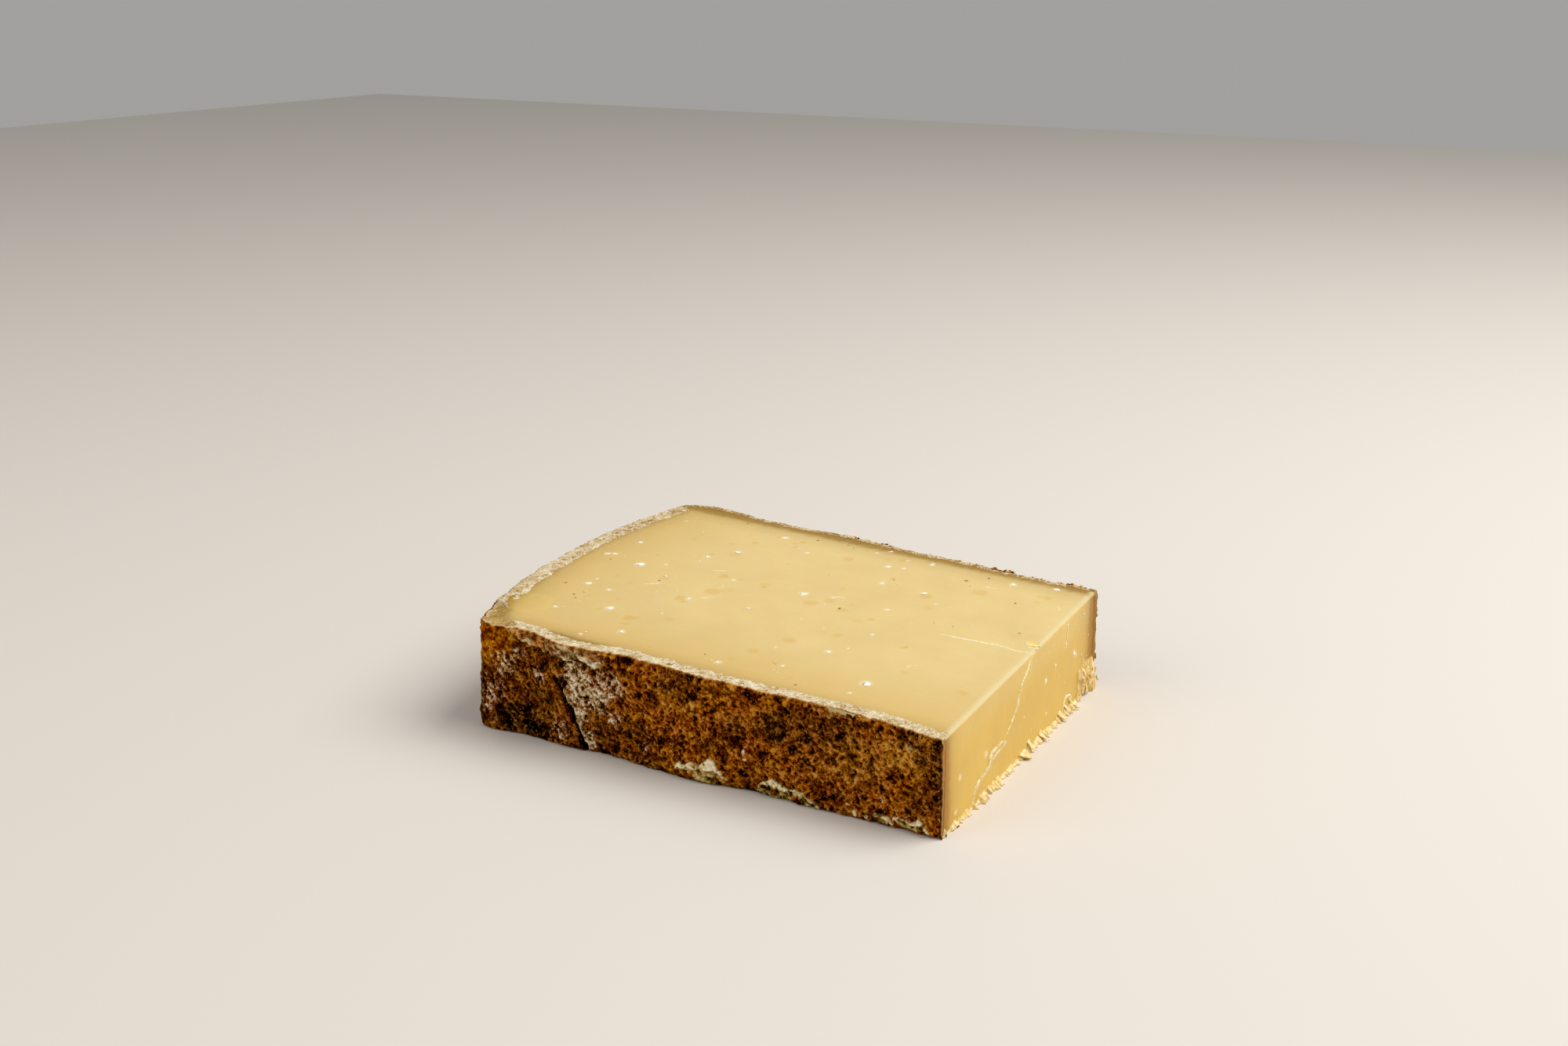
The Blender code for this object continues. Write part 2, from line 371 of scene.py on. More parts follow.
# %% Helpers for colours and nodes
def linear(hex_colour):
    channels = [int(hex_colour[start:start + 2], 16) / 255 for start in (0, 2, 4)]
    bent = [c / 12.92 if c <= 0.04045 else ((c + 0.055) / 1.055) ** 2.4 for c in channels]
    return (*bent, 1.0)


def grey(level):
    return (level, level, level, 1.0)


def new_material(name):
    material = bpy.data.materials.new(name)
    material.use_nodes = True
    return material, material.node_tree, material.node_tree.nodes["Principled BSDF"]


def add(tree, kind, settings=None, links=None, stops=None):
    """Adds one node: settings by property name, or by socket where none has it, then links."""
    node = tree.nodes.new("ShaderNode" + kind)
    for key, value in (settings or {}).items():
        if isinstance(key, str) and hasattr(node, key):
            setattr(node, key, value)
        else:
            node.inputs[key].default_value = value
    for key, socket in (links or {}).items():
        tree.links.new(socket, node.inputs[key])
    if stops:
        ramp = node.color_ramp.elements
        while len(ramp) < len(stops):
            ramp.new(0.5)
        for element, (place, colour) in zip(ramp, stops):
            element.position = place
            element.color = colour
    return node


def colour_mix(tree, factor, first, second, **settings):
    """A colour mix whose factor, first and second are each a socket or a fixed value."""
    links, values = {}, {"data_type": "RGBA", **settings}
    for key, given in ((0, factor), (6, first), (7, second)):
        if isinstance(given, bpy.types.NodeSocket):
            links[key] = given
        else:
            values[key] = given
    return add(tree, "Mix", values, links).outputs[2]


def point_values(tree, names):
    """What the points carry under each name."""
    return {name: add(tree, "Attribute", {"attribute_name": name}).outputs["Fac"] for name in names}


def noise_value(tree, place, wave, detail, **settings):
    """Noise from 0 to 1 at a place, with bumps about as wide as wave."""
    settings = {"Scale": 1 / wave, "Detail": detail, **settings}
    return add(tree, "TexNoise", settings, {"Vector": place}).outputs["Fac"]


def ramp(tree, value, stops):
    return add(tree, "ValToRGB", links={"Fac": value}, stops=stops).outputs["Color"]


def tone_ramp(tree, value, places, colours):
    """A ramp over hex colours at the given places."""
    return ramp(tree, value, [(place, linear(colour)) for place, colour in zip(places, colours)])


def finish_shader(tree, shader, colour, bump, settings):
    """Links the colour and the bump, and sets the shader's other inputs by name."""
    tree.links.new(colour, shader.inputs["Base Color"])
    tree.links.new(bump.outputs["Normal"], shader.inputs["Normal"])
    for name, value in settings.items():
        shader.inputs[name].default_value = value


# %% [markdown]
# ### Paste
#
# A ripe pressed paste is an even straw yellow. It darkens to tan within a few millimetres of
# the rind, where it has dried. Along the back of the top the tan is also painted shade, which
# the raised band casts on the paste. The fresh cut at the right end is a deeper yellow than
# the top, which has had time to dry and pale. Points carry how near the rind they are, how fresh
# the cut is and where the eyes lie, and the material mixes its colours by those.

# %% Ripe pressed paste, cut with a wire
PASTE_MOTTLE = 11.0 * MM
PASTE_GRAIN = 0.45 * MM
RIM_WOBBLE = 1.6 * MM
WIRE_STREAK = 1.1 * MM
WIRE_DRAW = (0.10, 1.0, 0.22)
# rub_and_sheen: the rounded edge at the right end, paler from rubbing and painted with sheen where it
# catches the light
PASTE_MARKS = {"smear": "F2D254", "eye": "D6A84C", "frost": "F7ECCC", "rub_and_sheen": "D9CC9E",
               "torn": "EED9A2", "chip": "AC8C4A"}

# How far the tan goes, by the distance from the rind as a share of its reach
TAN_STOPS = ((0.18, 1.0), (0.34, 0.85), (0.44, 0.45), (0.58, 0.20), (0.83, 0.06), (1.0, 0.0))


def make_paste():
    material, tree, shader = new_material("ripe pressed paste, wire cut")
    place = add(tree, "TexCoord").outputs["Object"]
    point = point_values(tree, ("rim", "fresh", "aged", *PASTE_MARKS))
    mottle = noise_value(tree, place, PASTE_MOTTLE, 3.0)
    dry = tone_ramp(tree, mottle, (0.30, 0.78), ("DCC284", "E2C98A"))
    moist = tone_ramp(tree, mottle, (0.30, 0.60, 0.80), ("D6AF52", "DCB758", "E1BE62"))
    colour = colour_mix(tree, point["aged"], dry, linear("D2B066"))
    colour = colour_mix(tree, point["fresh"], colour, moist)
    wobble = noise_value(tree, place, RIM_WOBBLE, 2.0)
    uneven = add(tree, "Math", {"operation": "MULTIPLY_ADD", 1: 0.16}, {0: wobble, 2: point["rim"]})
    near_rind = ramp(tree, uneven.outputs[0], [(at, grey(level)) for at, level in TAN_STOPS])
    tan = colour_mix(tree, point["fresh"], linear("94701C"), linear("9E6A08"))
    colour = colour_mix(tree, near_rind, colour, tan)
    for name, tone in PASTE_MARKS.items():
        colour = colour_mix(tree, point[name], colour, linear(tone))
    drawn = add(tree, "Mapping", {"Scale": WIRE_DRAW}, {"Vector": place}).outputs["Vector"]
    streaks = noise_value(tree, drawn, WIRE_STREAK, 4.0)
    streak_tone = tone_ramp(tree, streaks, (0.34, 0.60), ("FEFDFB", "FFFFFF"))
    colour = colour_mix(tree, 1.0, colour, streak_tone, blend_type="MULTIPLY")
    grain = noise_value(tree, place, PASTE_GRAIN, 4.0)
    surface = add(tree, "Mix", {"data_type": "FLOAT", 0: 0.12}, {2: grain, 3: streaks}).outputs[0]
    bump = add(tree, "Bump", {"Strength": 0.16, "Distance": 0.10 * MM}, {"Height": surface})
    gloss = add(tree, "MapRange", {"To Min": 0.36, "To Max": 0.52}, {"Value": mottle})
    tree.links.new(gloss.outputs["Result"], shader.inputs["Roughness"])
    finish_shader(tree, shader, colour, bump, {
        "IOR": 1.45, "Specular IOR Level": 0.32, "Subsurface Weight": 0.30,
        "Subsurface Radius": (1.0, 0.62, 0.22), "Subsurface Scale": 2.0 * MM})
    return material


PASTE = make_paste()
print("made", PASTE.name)

# %% [markdown]
# ### Washed rind
#
# Salt, brushing and bacteria leave a crust of brown grains with dark pits between them, here and
# there a bloom of pale mould that dusts the crests, and an orange spot at the corner. The grain
# is real relief, so the colour follows it: each point carries how high it stands in its grain,
# and every tone below is a ramp from the pits to the crests, which paints shade into the pits
# and light onto the crests. Smaller near-black pits are painted shade in the colour alone. The
# cut section of the crust, on top, is dry and whitish.

# %% Washed rind, brushed with brine
GRAIN = 1.4 * MM
FINE_GRAIN = 0.32 * MM
PATCH = 9.0 * MM
CLUMP = 3.2 * MM
CLUMP_SHIFT = 0.042
FLECK = 0.62 * MM
PIT = 0.95 * MM
RIND_PLACES = (0.395, 0.45, 0.50, 0.55, 0.63)
RIND_TONES = {
    "brown": ("100400", "541E00", "863F00", "A65E00", "CE942C"),
    "russet": ("0C0200", "481800", "7A3600", "9E5204", "C8883A"),
    "sunny": ("2C1000", "7A4204", "A2660E", "BC8224", "DEAE60"),
    "dusky": ("010000", "080200", "200C00", "542C04", "946424"),
    "honey": ("501A00", "8A4200", "A65A00", "BE7804", "DAA02E"),
    "powder": ("1C0E02", "744E1C", "AE8C5A", "D2BC94", "F2E8D4"),
    "olive": ("1E1402", "5C4814", "A08A3C", "C4B064", "E4D8A4"),
    "cream": ("6E4E18", "BEA05A", "DECA8E", "F2E6BC", "FFFAE2"),
    "broken": ("8C6C34", "A08046", "B29458", "C6AE7C", "ECE0C0"),
}
BAND_PLACES = (0.36, 0.42, 0.48, 0.56, 0.68)
BAND_TONES = ("825C2A", "B29463", "D0BE98", "E6DCC4", "FAF5E8")


def make_rind():
    material, tree, shader = new_material("washed rind, brushed with brine")
    straight = add(tree, "TexCoord").outputs["Object"]
    place = add(tree, "Mapping", {"Rotation": NOISE_TURN}, {"Vector": straight}).outputs["Vector"]
    point = point_values(tree, ("relief", "light", "dark", "bloom", "amber", "flake", "cream",
                                "section", "depth", "chip"))
    grain = noise_value(tree, place, GRAIN, 8.0, Roughness=0.72, Distortion=0.35)
    fine = noise_value(tree, place, FINE_GRAIN, 4.0, Roughness=0.6)
    patch = noise_value(tree, place, PATCH, 3.0)
    # Painted shade and light: the tone ramps run from dark pits to bright crests of this relief
    half = add(tree, "Mix", {"data_type": "FLOAT", 0: 0.52}, {2: point["relief"], 3: grain})
    mixed = add(tree, "Mix", {"data_type": "FLOAT", 0: 0.36}, {2: half.outputs[0], 3: fine})
    clumps = noise_value(tree, place, CLUMP, 2.0)
    shift = add(tree, "MapRange", {"From Min": 0.3, "From Max": 0.7, "To Min": -CLUMP_SHIFT,
                                   "To Max": CLUMP_SHIFT}, {"Value": clumps})
    mixed = add(tree, "Math", {"operation": "ADD"}, {0: mixed.outputs[0], 1: shift.outputs["Result"]})
    mixed = mixed.outputs[0]
    tone = {name: tone_ramp(tree, mixed, RIND_PLACES, colours) for name, colours in RIND_TONES.items()}
    hue = ramp(tree, patch, [(0.42, grey(0.0)), (0.58, grey(1.0))])
    colour = colour_mix(tree, hue, tone["russet"], tone["brown"])
    colour = colour_mix(tree, point["light"], colour, tone["sunny"])
    colour = colour_mix(tree, point["dark"], colour, tone["dusky"])
    fleck = ramp(tree, noise_value(tree, place, FLECK, 2.0), [(0.62, grey(0.0)), (0.72, grey(0.6))])
    # Painted shade: near-black pits in the colour, where the mesh has no hollow
    pit = ramp(tree, noise_value(tree, place, PIT, 2.0), [(0.30, grey(0.9)), (0.38, grey(0.0))])
    colour = colour_mix(tree, fleck, colour, linear("C08A38"))
    colour = colour_mix(tree, pit, colour, linear("080200"))
    colour = colour_mix(tree, point["amber"], colour, tone["honey"])
    # Thin mould only dusts the crests of the grain, so its cover rises with the relief
    raised = add(tree, "Math", {"operation": "MULTIPLY_ADD", 1: 2.4}, {0: mixed, 2: point["bloom"]})
    dusted = add(tree, "MapRange", {"From Min": 1.48, "From Max": 1.98}, {"Value": raised.outputs[0]})
    near_bloom = add(tree, "MapRange", {"From Max": 0.25}, {"Value": point["bloom"]})
    cover = add(tree, "Math", {"operation": "MULTIPLY"},
                {0: dusted.outputs["Result"], 1: near_bloom.outputs["Result"]})
    colour = colour_mix(tree, cover.outputs[0], colour, tone["powder"])
    colour = colour_mix(tree, point["flake"], colour, tone["olive"])
    colour = colour_mix(tree, point["cream"], colour, tone["cream"])
    crumb = tone_ramp(tree, mixed, BAND_PLACES, BAND_TONES)
    ragged = add(tree, "Math", {"operation": "MULTIPLY_ADD", 1: 0.25}, {0: grain, 2: point["depth"]})
    edge = tone_ramp(tree, ragged.outputs[0], (0.13, 0.19, 0.27), ("7A4410", "D09A3C", "FFFFFF"))
    pale = colour_mix(tree, 1.0, crumb, edge, blend_type="MULTIPLY")
    colour = colour_mix(tree, point["section"], colour, pale)
    colour = colour_mix(tree, point["chip"], colour, tone["broken"])
    bump = add(tree, "Bump", {"Strength": 0.8, "Distance": 0.16 * MM}, {"Height": mixed})
    finish_shader(tree, shader, colour, bump, {
        "Roughness": 0.75, "IOR": 1.46, "Specular IOR Level": 0.0})
    return material


RIND = make_rind()
print("made", RIND.name)

# %% Crystals, torn paste and pin holes
def make_grainy(name, low_colour, high_colour, wave, roughness):
    """A finish of two close tones in fine grain."""
    material, tree, shader = new_material(name)
    place = add(tree, "TexCoord").outputs["Object"]
    grain = noise_value(tree, place, wave, 3.0)
    tone = tone_ramp(tree, grain, (0.38, 0.60), (low_colour, high_colour))
    bump = add(tree, "Bump", {"Strength": 0.4, "Distance": 0.08 * MM}, {"Height": grain})
    finish_shader(tree, shader, tone, bump, {"Roughness": roughness, "Specular IOR Level": 0.2})
    return material


CRYSTAL = make_grainy("ripening crystals, chalky", "F2EAD0", "FCF8EC", 0.5 * MM, 0.80)
TORN = make_grainy("torn paste, dry crumb", "E2BE6E", "F6E6B6", 0.9 * MM, 0.60)
CRACK = make_grainy("crumbled lip of a crack", "E8D49C", "F8ECC8", 0.6 * MM, 0.60)
# Painted shade: the dark inside of pin holes, laid on the top as flat lumps
PIN_HOLE_SHADE = make_grainy("painted shade of pin holes", "6A3404", "A86412", 0.3 * MM, 0.90)
print("made", [finish.name for finish in (CRYSTAL, TORN, CRACK, PIN_HOLE_SHADE)])

# %% [markdown]
# ## The paste
#
# The paste is one block. A grid makes its top, finely cut so that eyes and hollows have points
# to live on. Its right edge is extruded down the cut end, under the piece and up inside the
# heel, and the two long sides are filled. Then every point of this plain block moves to its
# place in the cheese.

# %% Model the plain block
PASTE_COLUMNS = 290
PASTE_ROWS = 230
EDGE_STEPS = 8
FACE_STEPS = 58
BLOCK_LENGTH = FRONT_RIGHT_X
BLOCK_WIDTH = 2 * HALF_WHEEL
BLOCK_EDGE = 2.0 * MM


def model_paste():
    centre = (BLOCK_LENGTH / 2, 0.0, TOP_HEIGHT)
    piece = flat_grid("paste_block", BLOCK_LENGTH, BLOCK_WIDTH, PASTE_COLUMNS, PASTE_ROWS, centre)
    drops = [BLOCK_EDGE / EDGE_STEPS] * EDGE_STEPS
    drops += [(TOP_HEIGHT - BLOCK_EDGE) / FACE_STEPS] * FACE_STEPS
    height = TOP_HEIGHT
    for drop in drops:
        pick_edges(piece, lambda point: point.x > BLOCK_LENGTH - TOUCH and point.z < height + TOUCH)
        extrude_by((0.0, 0.0, -drop))
        height -= drop
    pick_edges(piece, lambda point: point.z < TOUCH)
    extrude_by((-BLOCK_LENGTH, 0.0, 0.0))
    pick_edges(piece, lambda point: point.z < TOUCH and point.x < TOUCH)
    extrude_by((0.0, 0.0, TOP_HEIGHT))
    close_up()
    return piece


paste = model_paste()
print("points of the plain block:", len(paste.data.vertices))

# %% [markdown]
# ### Eyes, the slab and the broken corner
#
# The eyes of this paste are small: shallow, flattened hollows of a deeper yellow. The front
# left corner of the top is broken off: a step down at a bent line and then a gentle slope to the
# corner. Low on the cut end a crack has loosened a thin slab, which stands slightly proud, and
# at the back a flap has torn away from the foot.

# %% Eyes as X, Y, radius in mm and strength, and the lines of the broken corner and of the slab
EYES = (
    (35, 39.5, 1.1, 0.9), (33.5, 37.5, 1.0, 0.8), (35, 35.3, 0.8, 0.8), (51, 35, 2.1, 0.8),
    (24.7, 32, 1.1, 1.0), (20, 28, 1.0, 0.5), (25, 21.5, 2.0, 0.5), (20, 18, 1.1, 0.9),
    (40.3, 22.7, 0.8, 0.8), (31.5, 6.3, 1.7, 0.9), (36.3, 6.3, 1.2, 0.5), (43.5, 6.5, 1.8, 0.6),
    (35, -4.5, 2.4, 0.8), (37.5, -1.5, 2.0, 0.4), (20, -3, 1.9, 0.5), (31, -12.5, 2.1, 0.8),
    (33, -14, 1.0, 0.9), (48.5, -9.5, 1.6, 0.4), (28.3, -30, 2.0, 0.9), (29.3, -33.5, 1.4, 0.7),
    (18.8, -28.7, 1.0, 0.7), (11.8, -23.5, 0.8, 0.8), (10, 25.8, 1.1, 0.5), (9, 10, 1.0, 0.5),
    (21, 36.5, 1.0, 0.4), (36.5, -25.5, 1.6, 0.5), (9.5, -8.5, 1.0, 0.5), (15, -11, 1.0, 0.5),
    (19, -21, 1.4, 0.4), (58, -41.7, 0.9, 0.7), (9.5, 40, 1.1, 0.4), (63, 42, 1.1, 0.9),
    (60, 39.7, 1.3, 0.5), (67.5, 28.5, 1.2, 0.8), (80, 22.3, 2.1, 0.8), (90, 32, 2.4, 0.7),
    (59, 2.5, 2.1, 0.7), (62, 6.3, 1.6, 0.7), (68, 6.7, 0.9, 0.7), (67.5, 2.5, 1.8, 0.6),
    (76.5, 0.9, 1.3, 0.8), (74.5, -1.7, 1.5, 0.5), (74.8, -12.3, 1.6, 0.7), (91, -9.7, 1.0, 1.2),
    (67, -21, 1.8, 0.7), (63.5, -31, 1.8, 0.8), (61.7, -38, 1.6, 0.5), (113.5, -26, 1.8, 0.8),
    (105.5, 37.5, 1.5, 0.8), (103.5, 37.2, 1.1, 0.7), (84.5, 15.5, 1.9, 0.4), (109, 10.5, 1.6, 0.4),
    (98, -23, 1.2, 0.5), (60.5, 15.5, 1.3, 0.5), (78, -40.5, 1.2, 0.4), (104.5, 33.5, 1.1, 0.5),
)
EYE_DEPTH = 0.12 * MM

# Crystals as X and Y on the top, or Y and Z on the cut end, and size in mm
CRYSTALS_ON_TOP = (
    (-0.3, 15.4, 1.5), (-2.3, 3.5, 1.6), (-0.7, 4.5, 1.6), (9.3, 1.5, 2.8), (14.8, 5.2, 1.0),
    (0.1, 36.5, 1.2), (6.5, -13, 1.1), (6.6, -16.8, 2.0), (13.4, -17.7, 1.5), (20.9, -27.5, 2.4),
    (9.5, -33.8, 1.3), (32, -38, 2.0), (29.3, 39.8, 2.0), (40.2, 33, 1.1), (24.9, 23.3, 1.8),
    (20.3, 16, 1.5), (35.3, 5, 1.3), (35, 0.5, 0.8), (33, -11.8, 1.8), (48.3, -9, 1.2),
    (54.5, 6.7, 2.6), (57.8, 46, 1.2), (55.2, 43, 1.0), (25, -44.5, 1.0), (71.2, 43, 1.4),
    (64.5, 42.5, 0.9), (62.5, 35.5, 1.7), (66.5, 36.5, 1.2), (67, 24, 1.6), (66.7, 25.7, 0.8),
    (79, 23.5, 1.7), (94.5, 41.5, 2.0), (76.7, 8.7, 1.4), (62, 8, 0.9), (81.3, -7.3, 1.2),
    (78, -22, 2.0), (94, -33, 2.9), (93.5, -39.6, 1.1), (60.5, -41, 1.7), (73.5, -34.7, 1.0),
    (66.5, -26.3, 0.9), (105, 44.5, 1.8), (19.5, -1.9, 1.0), (84.5, 18.8, 0.8), (97.5, -20, 0.8),
)
CRYSTALS_ON_CUT = (
    (33.7, 13.8, 1.9), (35.2, 12.8, 1.1), (13.3, 13.6, 1.5), (28, 22.8, 1.2), (27.4, 18.1, 1.3),
    (20, 15.2, 1.1), (-24.7, 9.8, 1.8), (-40, 10.2, 1.3), (-41.8, 3, 1.4), (-5.3, 14.5, 1.1),
    (-9, 11.9, 0.8), (14.5, 5.1, 0.9), (-1, 9.7, 0.8), (39.5, 11.5, 0.8), (41, 9, 0.9),
)
FROST_REACH = 0.75
HOLLOWS = ((115.3, 8.9, 2.3), (115.9, 6.6, 1.2))
HOLLOW_DEPTH = 0.45 * MM
CHIP_LINES = (((-4.2, -38.2), (1.2, -39.7)), ((1.2, -39.7), (11.0, -50.4)))
CHIP_STEP = 0.55 * MM
CHIP_SHOULDER = 2.6 * MM
CHIP_SLOPE = 0.03
SLAB_LINE = ((3.2, 23.5), (1.8, 22.3), (-0.5, 20.2), (-2.8, 19.4), (-4.0, 17.6), (-5.0, 15.5),
             (-5.5, 14.3), (-7.0, 12.8), (-9.5, 11.3), (-13.0, 9.5), (-22.0, 8.6), (-24.0, 5.6),
             (-29.8, 4.7), (-31.3, 3.5), (-32.5, 0.0))
SLAB_PROUD = 0.16 * MM
SLAB_FADE = 24.0 * MM
FLAP_LINE = ((46.0, 8.6), (37.2, 8.2), (36.6, 1.3), (36.8, 0.0))
FLAP_PROUD = 0.40 * MM
FLAP_FADE = 14.0 * MM


def chip_distances(xy):
    """How far inside the heel side and the front side of the broken corner each point lies."""
    inside = []
    for start, end in CHIP_LINES:
        start, end = np.array(start) * MM, np.array(end) * MM
        along = (end - start) / np.linalg.norm(end - start)
        inside.append((xy - start) @ np.array([along[1], -along[0]]))
    return inside


def chip_drop(xy):
    """How far the broken face lies below the top: 0 outside the corner, a little rough inside."""
    from_heel, from_front = chip_distances(xy)
    spots = np.column_stack([xy, np.zeros(len(xy))])
    rough = 0.16 * MM * noise_at(spots, 2.6 * MM, 3.0)
    step = CHIP_STEP * (0.12 + 0.88 * rise(from_front, 0.0, CHIP_SHOULDER))
    drop = step + CHIP_SLOPE * from_front + rough
    return np.where(np.minimum(from_heel, from_front) > 0, np.maximum(drop, 0.0), 0.0)


def behind_line(y, z, line, fade):
    """1 just behind a line on the cut end, fading with distance, and 0 in front of it."""
    corners = np.array(line) * MM
    corners = corners[np.argsort(corners[:, 1])]
    behind = y - np.interp(z, corners[:, 1], corners[:, 0])
    below = z < corners[-1, 1]
    return np.where((behind > 0) & below, np.clip(1.0 - behind / fade, 0.0, 1.0), 0.0)


# %% The relief of the cut end: its torn edge at the foot, and the lump in its back corner
RUBBED_INSET = 0.8 * MM
RUBBED_DROP = 0.7 * MM

# Waves of the even cut: how wide, how high, and the noise's seed
CUT_WAVES = ((12.0 * MM, 0.08 * MM, 4.0), (1.5 * MM, 0.02 * MM, 6.0))
CUT_NOISE_X = 0.2
BURR_REACH = 0.28 * MM
BURR_HEIGHT = 1.6 * MM
BURR_WAVES = ((4.2 * MM, 1.4), (1.4 * MM, 0.8))
BURR_LEAST = 0.05
BURR_CURL = 1.6
LUMP_CENTRE_Y = 48.0 * MM
LUMP_HALF_WIDTH = 11.0 * MM
LUMP_HEIGHT = 11.0 * MM
LUMP_REACH = 1.2 * MM
FIBRE_WAVE = 1.2 * MM
FIBRE_STRETCH = 0.45
FIBRE_ROUGH = 0.55 * MM
FINE_FIBRE_WAVE = 0.8 * MM
FINE_FIBRE_ROUGH = 0.3 * FIBRE_ROUGH
UNDERCUT = 1.3 * MM
UNDERCUT_PLACE = (41.5 * MM, 5.5 * MM, 1.5 * MM)


def burr_reach(y):
    ragged = np.full(len(y), BURR_LEAST)
    for number, (wave, share) in enumerate(BURR_WAVES):
        row = [noise.noise(Vector((value / wave, number + 0.4, 2.2))) for value in y]
        ragged += share * np.abs(row)
    return BURR_REACH * np.minimum(1.0, ragged)


def cut_relief(y, z):
    """How far the cut end stands out at each point, and how torn it is there."""
    spots = np.column_stack([np.full(len(y), CUT_NOISE_X), y, z])
    even = sum(height * noise_at(spots, wave, seed) for wave, height, seed in CUT_WAVES)
    even += SLAB_PROUD * behind_line(y, z, SLAB_LINE, SLAB_FADE)
    even += FLAP_PROUD * behind_line(y, z, FLAP_LINE, FLAP_FADE)
    lip = burr_reach(y) * np.clip(1.0 - z / BURR_HEIGHT, 0.0, 1.0) ** BURR_CURL
    lump = hill(y - LUMP_CENTRE_Y, LUMP_HALF_WIDTH) * hill(z, LUMP_HEIGHT)
    in_flap = (behind_line(y, z, FLAP_LINE, FLAP_FADE) > 0) * 1.0
    splits = noise_at(spots * (1.0, 1.0, FIBRE_STRETCH), FIBRE_WAVE, 2.0)
    fine_splits = noise_at(spots, FINE_FIBRE_WAVE, 12.0)
    rough = in_flap * (FIBRE_ROUGH * splits + FINE_FIBRE_ROUGH * fine_splits)
    middle, half_width, height = UNDERCUT_PLACE
    under = UNDERCUT * hill(y - middle, half_width) * (1 - rise(z, 0.3 * MM, height))
    torn = np.maximum(lip / BURR_REACH, in_flap * (0.15 + 0.85 * rise(splits, 0.05, 0.35)))
    out = even + np.maximum(lip, LUMP_REACH * lump * in_flap) + rough - under
    return out, np.clip(torn, 0.0, 1.0)


# %% Move every point of the block to its place
PASTE_INSET = 1.6 * MM
HEEL_INSET = 2.3 * MM
VALLEY_PLACE = 4.4 * MM
VALLEY_HALF_WIDTH = 1.8 * MM
VALLEY_DEPTH = 0.10 * MM
UNDER_CRUST_DEPTH = 0.25 * MM
UNDER_CRUST_SPAN = (3.0 * MM, 4.4 * MM)
SMEAR_PLACE = (2.6 * MM, -35.5 * MM)
SMEAR_RADIUS = 6.6 * MM
SMEAR_PROUD = 0.14 * MM

# Slow waves of the top: how wide, how high, and the noise's seed
TOP_WAVES = ((26.0 * MM, 0.06 * MM, 1.0), (7.0 * MM, 0.012 * MM, 2.0))
EYE_WARP = 0.6 * MM
FROST_WARP = 0.5 * MM
FROST_WHITE = 0.7
EYE_TONE = 0.50
CHIP_TONE = 0.9
RUB_AND_SHEEN_TONE = 0.85
AGED_TONE = 0.75
SMEAR_TONE = 0.12
RIM_REACH = 12.0 * MM
FRONT_DRYING = 1.22
# Along the back of the top the tan stands for drying and for the painted shade of the raised band
BACK_DRYING_AND_SHADE = 0.88
HEEL_DRYING = 0.85
CUT_DRYING = 0.80
CUT_DRYING_RISE = 0.32
BACK_DRYING_ON_CUT = 0.66
LEAST_FLAP_RIM = 0.55
AGED_REACH = 34.0 * MM
PALE_TOP = 0.35
PALE_TOP_SPAN = (15.0 * MM, 21.0 * MM)


def paste_plan(plain):
    """Plan X and Y of the top for each point of the plain block, and X of its heel and cut."""
    heel_share = 0.5 - plain[:, 1] / BLOCK_WIDTH
    heel_x = heel_arc(np.clip(heel_share, 0.0, 1.0))[:, 0]
    left = heel_x + HEEL_INSET
    right = cut_x(plain[:, 1])
    x = left + (right - RUBBED_INSET - left) * plain[:, 0] / BLOCK_LENGTH
    front = -HALF_WHEEL + PASTE_INSET - least_swell(x, FRONT_SWELLS)
    back = HALF_WHEEL - PASTE_INSET + least_swell(x, BACK_SWELLS)
    y = front + (back - front) * (plain[:, 1] / BLOCK_WIDTH + 0.5)
    return x, y, left, right, heel_x


def smear_at(x, y):
    """How far each point is on the film of paste that was smeared beside the broken corner."""
    spots = np.column_stack([x, y, np.zeros(len(x))])
    away = np.hypot(x - SMEAR_PLACE[0], y - SMEAR_PLACE[1]) + 1.2 * MM * noise_at(spots, 3.5 * MM, 91.0)
    return 1.0 - rise(away, 0.82 * SMEAR_RADIUS, SMEAR_RADIUS)


def hollow_at(x, y):
    """How deep each point lies in the two bright hollows near the cut."""
    deep = np.zeros(len(x))
    for hollow_x, hollow_y, radius in HOLLOWS:
        away = np.hypot(0.8 * (x - hollow_x * MM), 1.3 * (y - hollow_y * MM))
        deep = np.maximum(deep, hill(away, radius * MM))
    return deep


def frost_at(across, along, marks, spots):
    """How white each point is for lying on or beside a crystal."""
    bent_across = across + FROST_WARP * noise_at(spots, 1.1 * MM, 81.0)
    bent_along = along + FROST_WARP * noise_at(spots, 1.1 * MM, 85.0)
    frost = np.zeros(len(across))
    for mark_across, mark_along, size in marks:
        away = np.hypot(bent_across - mark_across * MM, bent_along - mark_along * MM)
        frost = np.maximum(frost, hill(away, FROST_REACH * size * MM))
    return frost


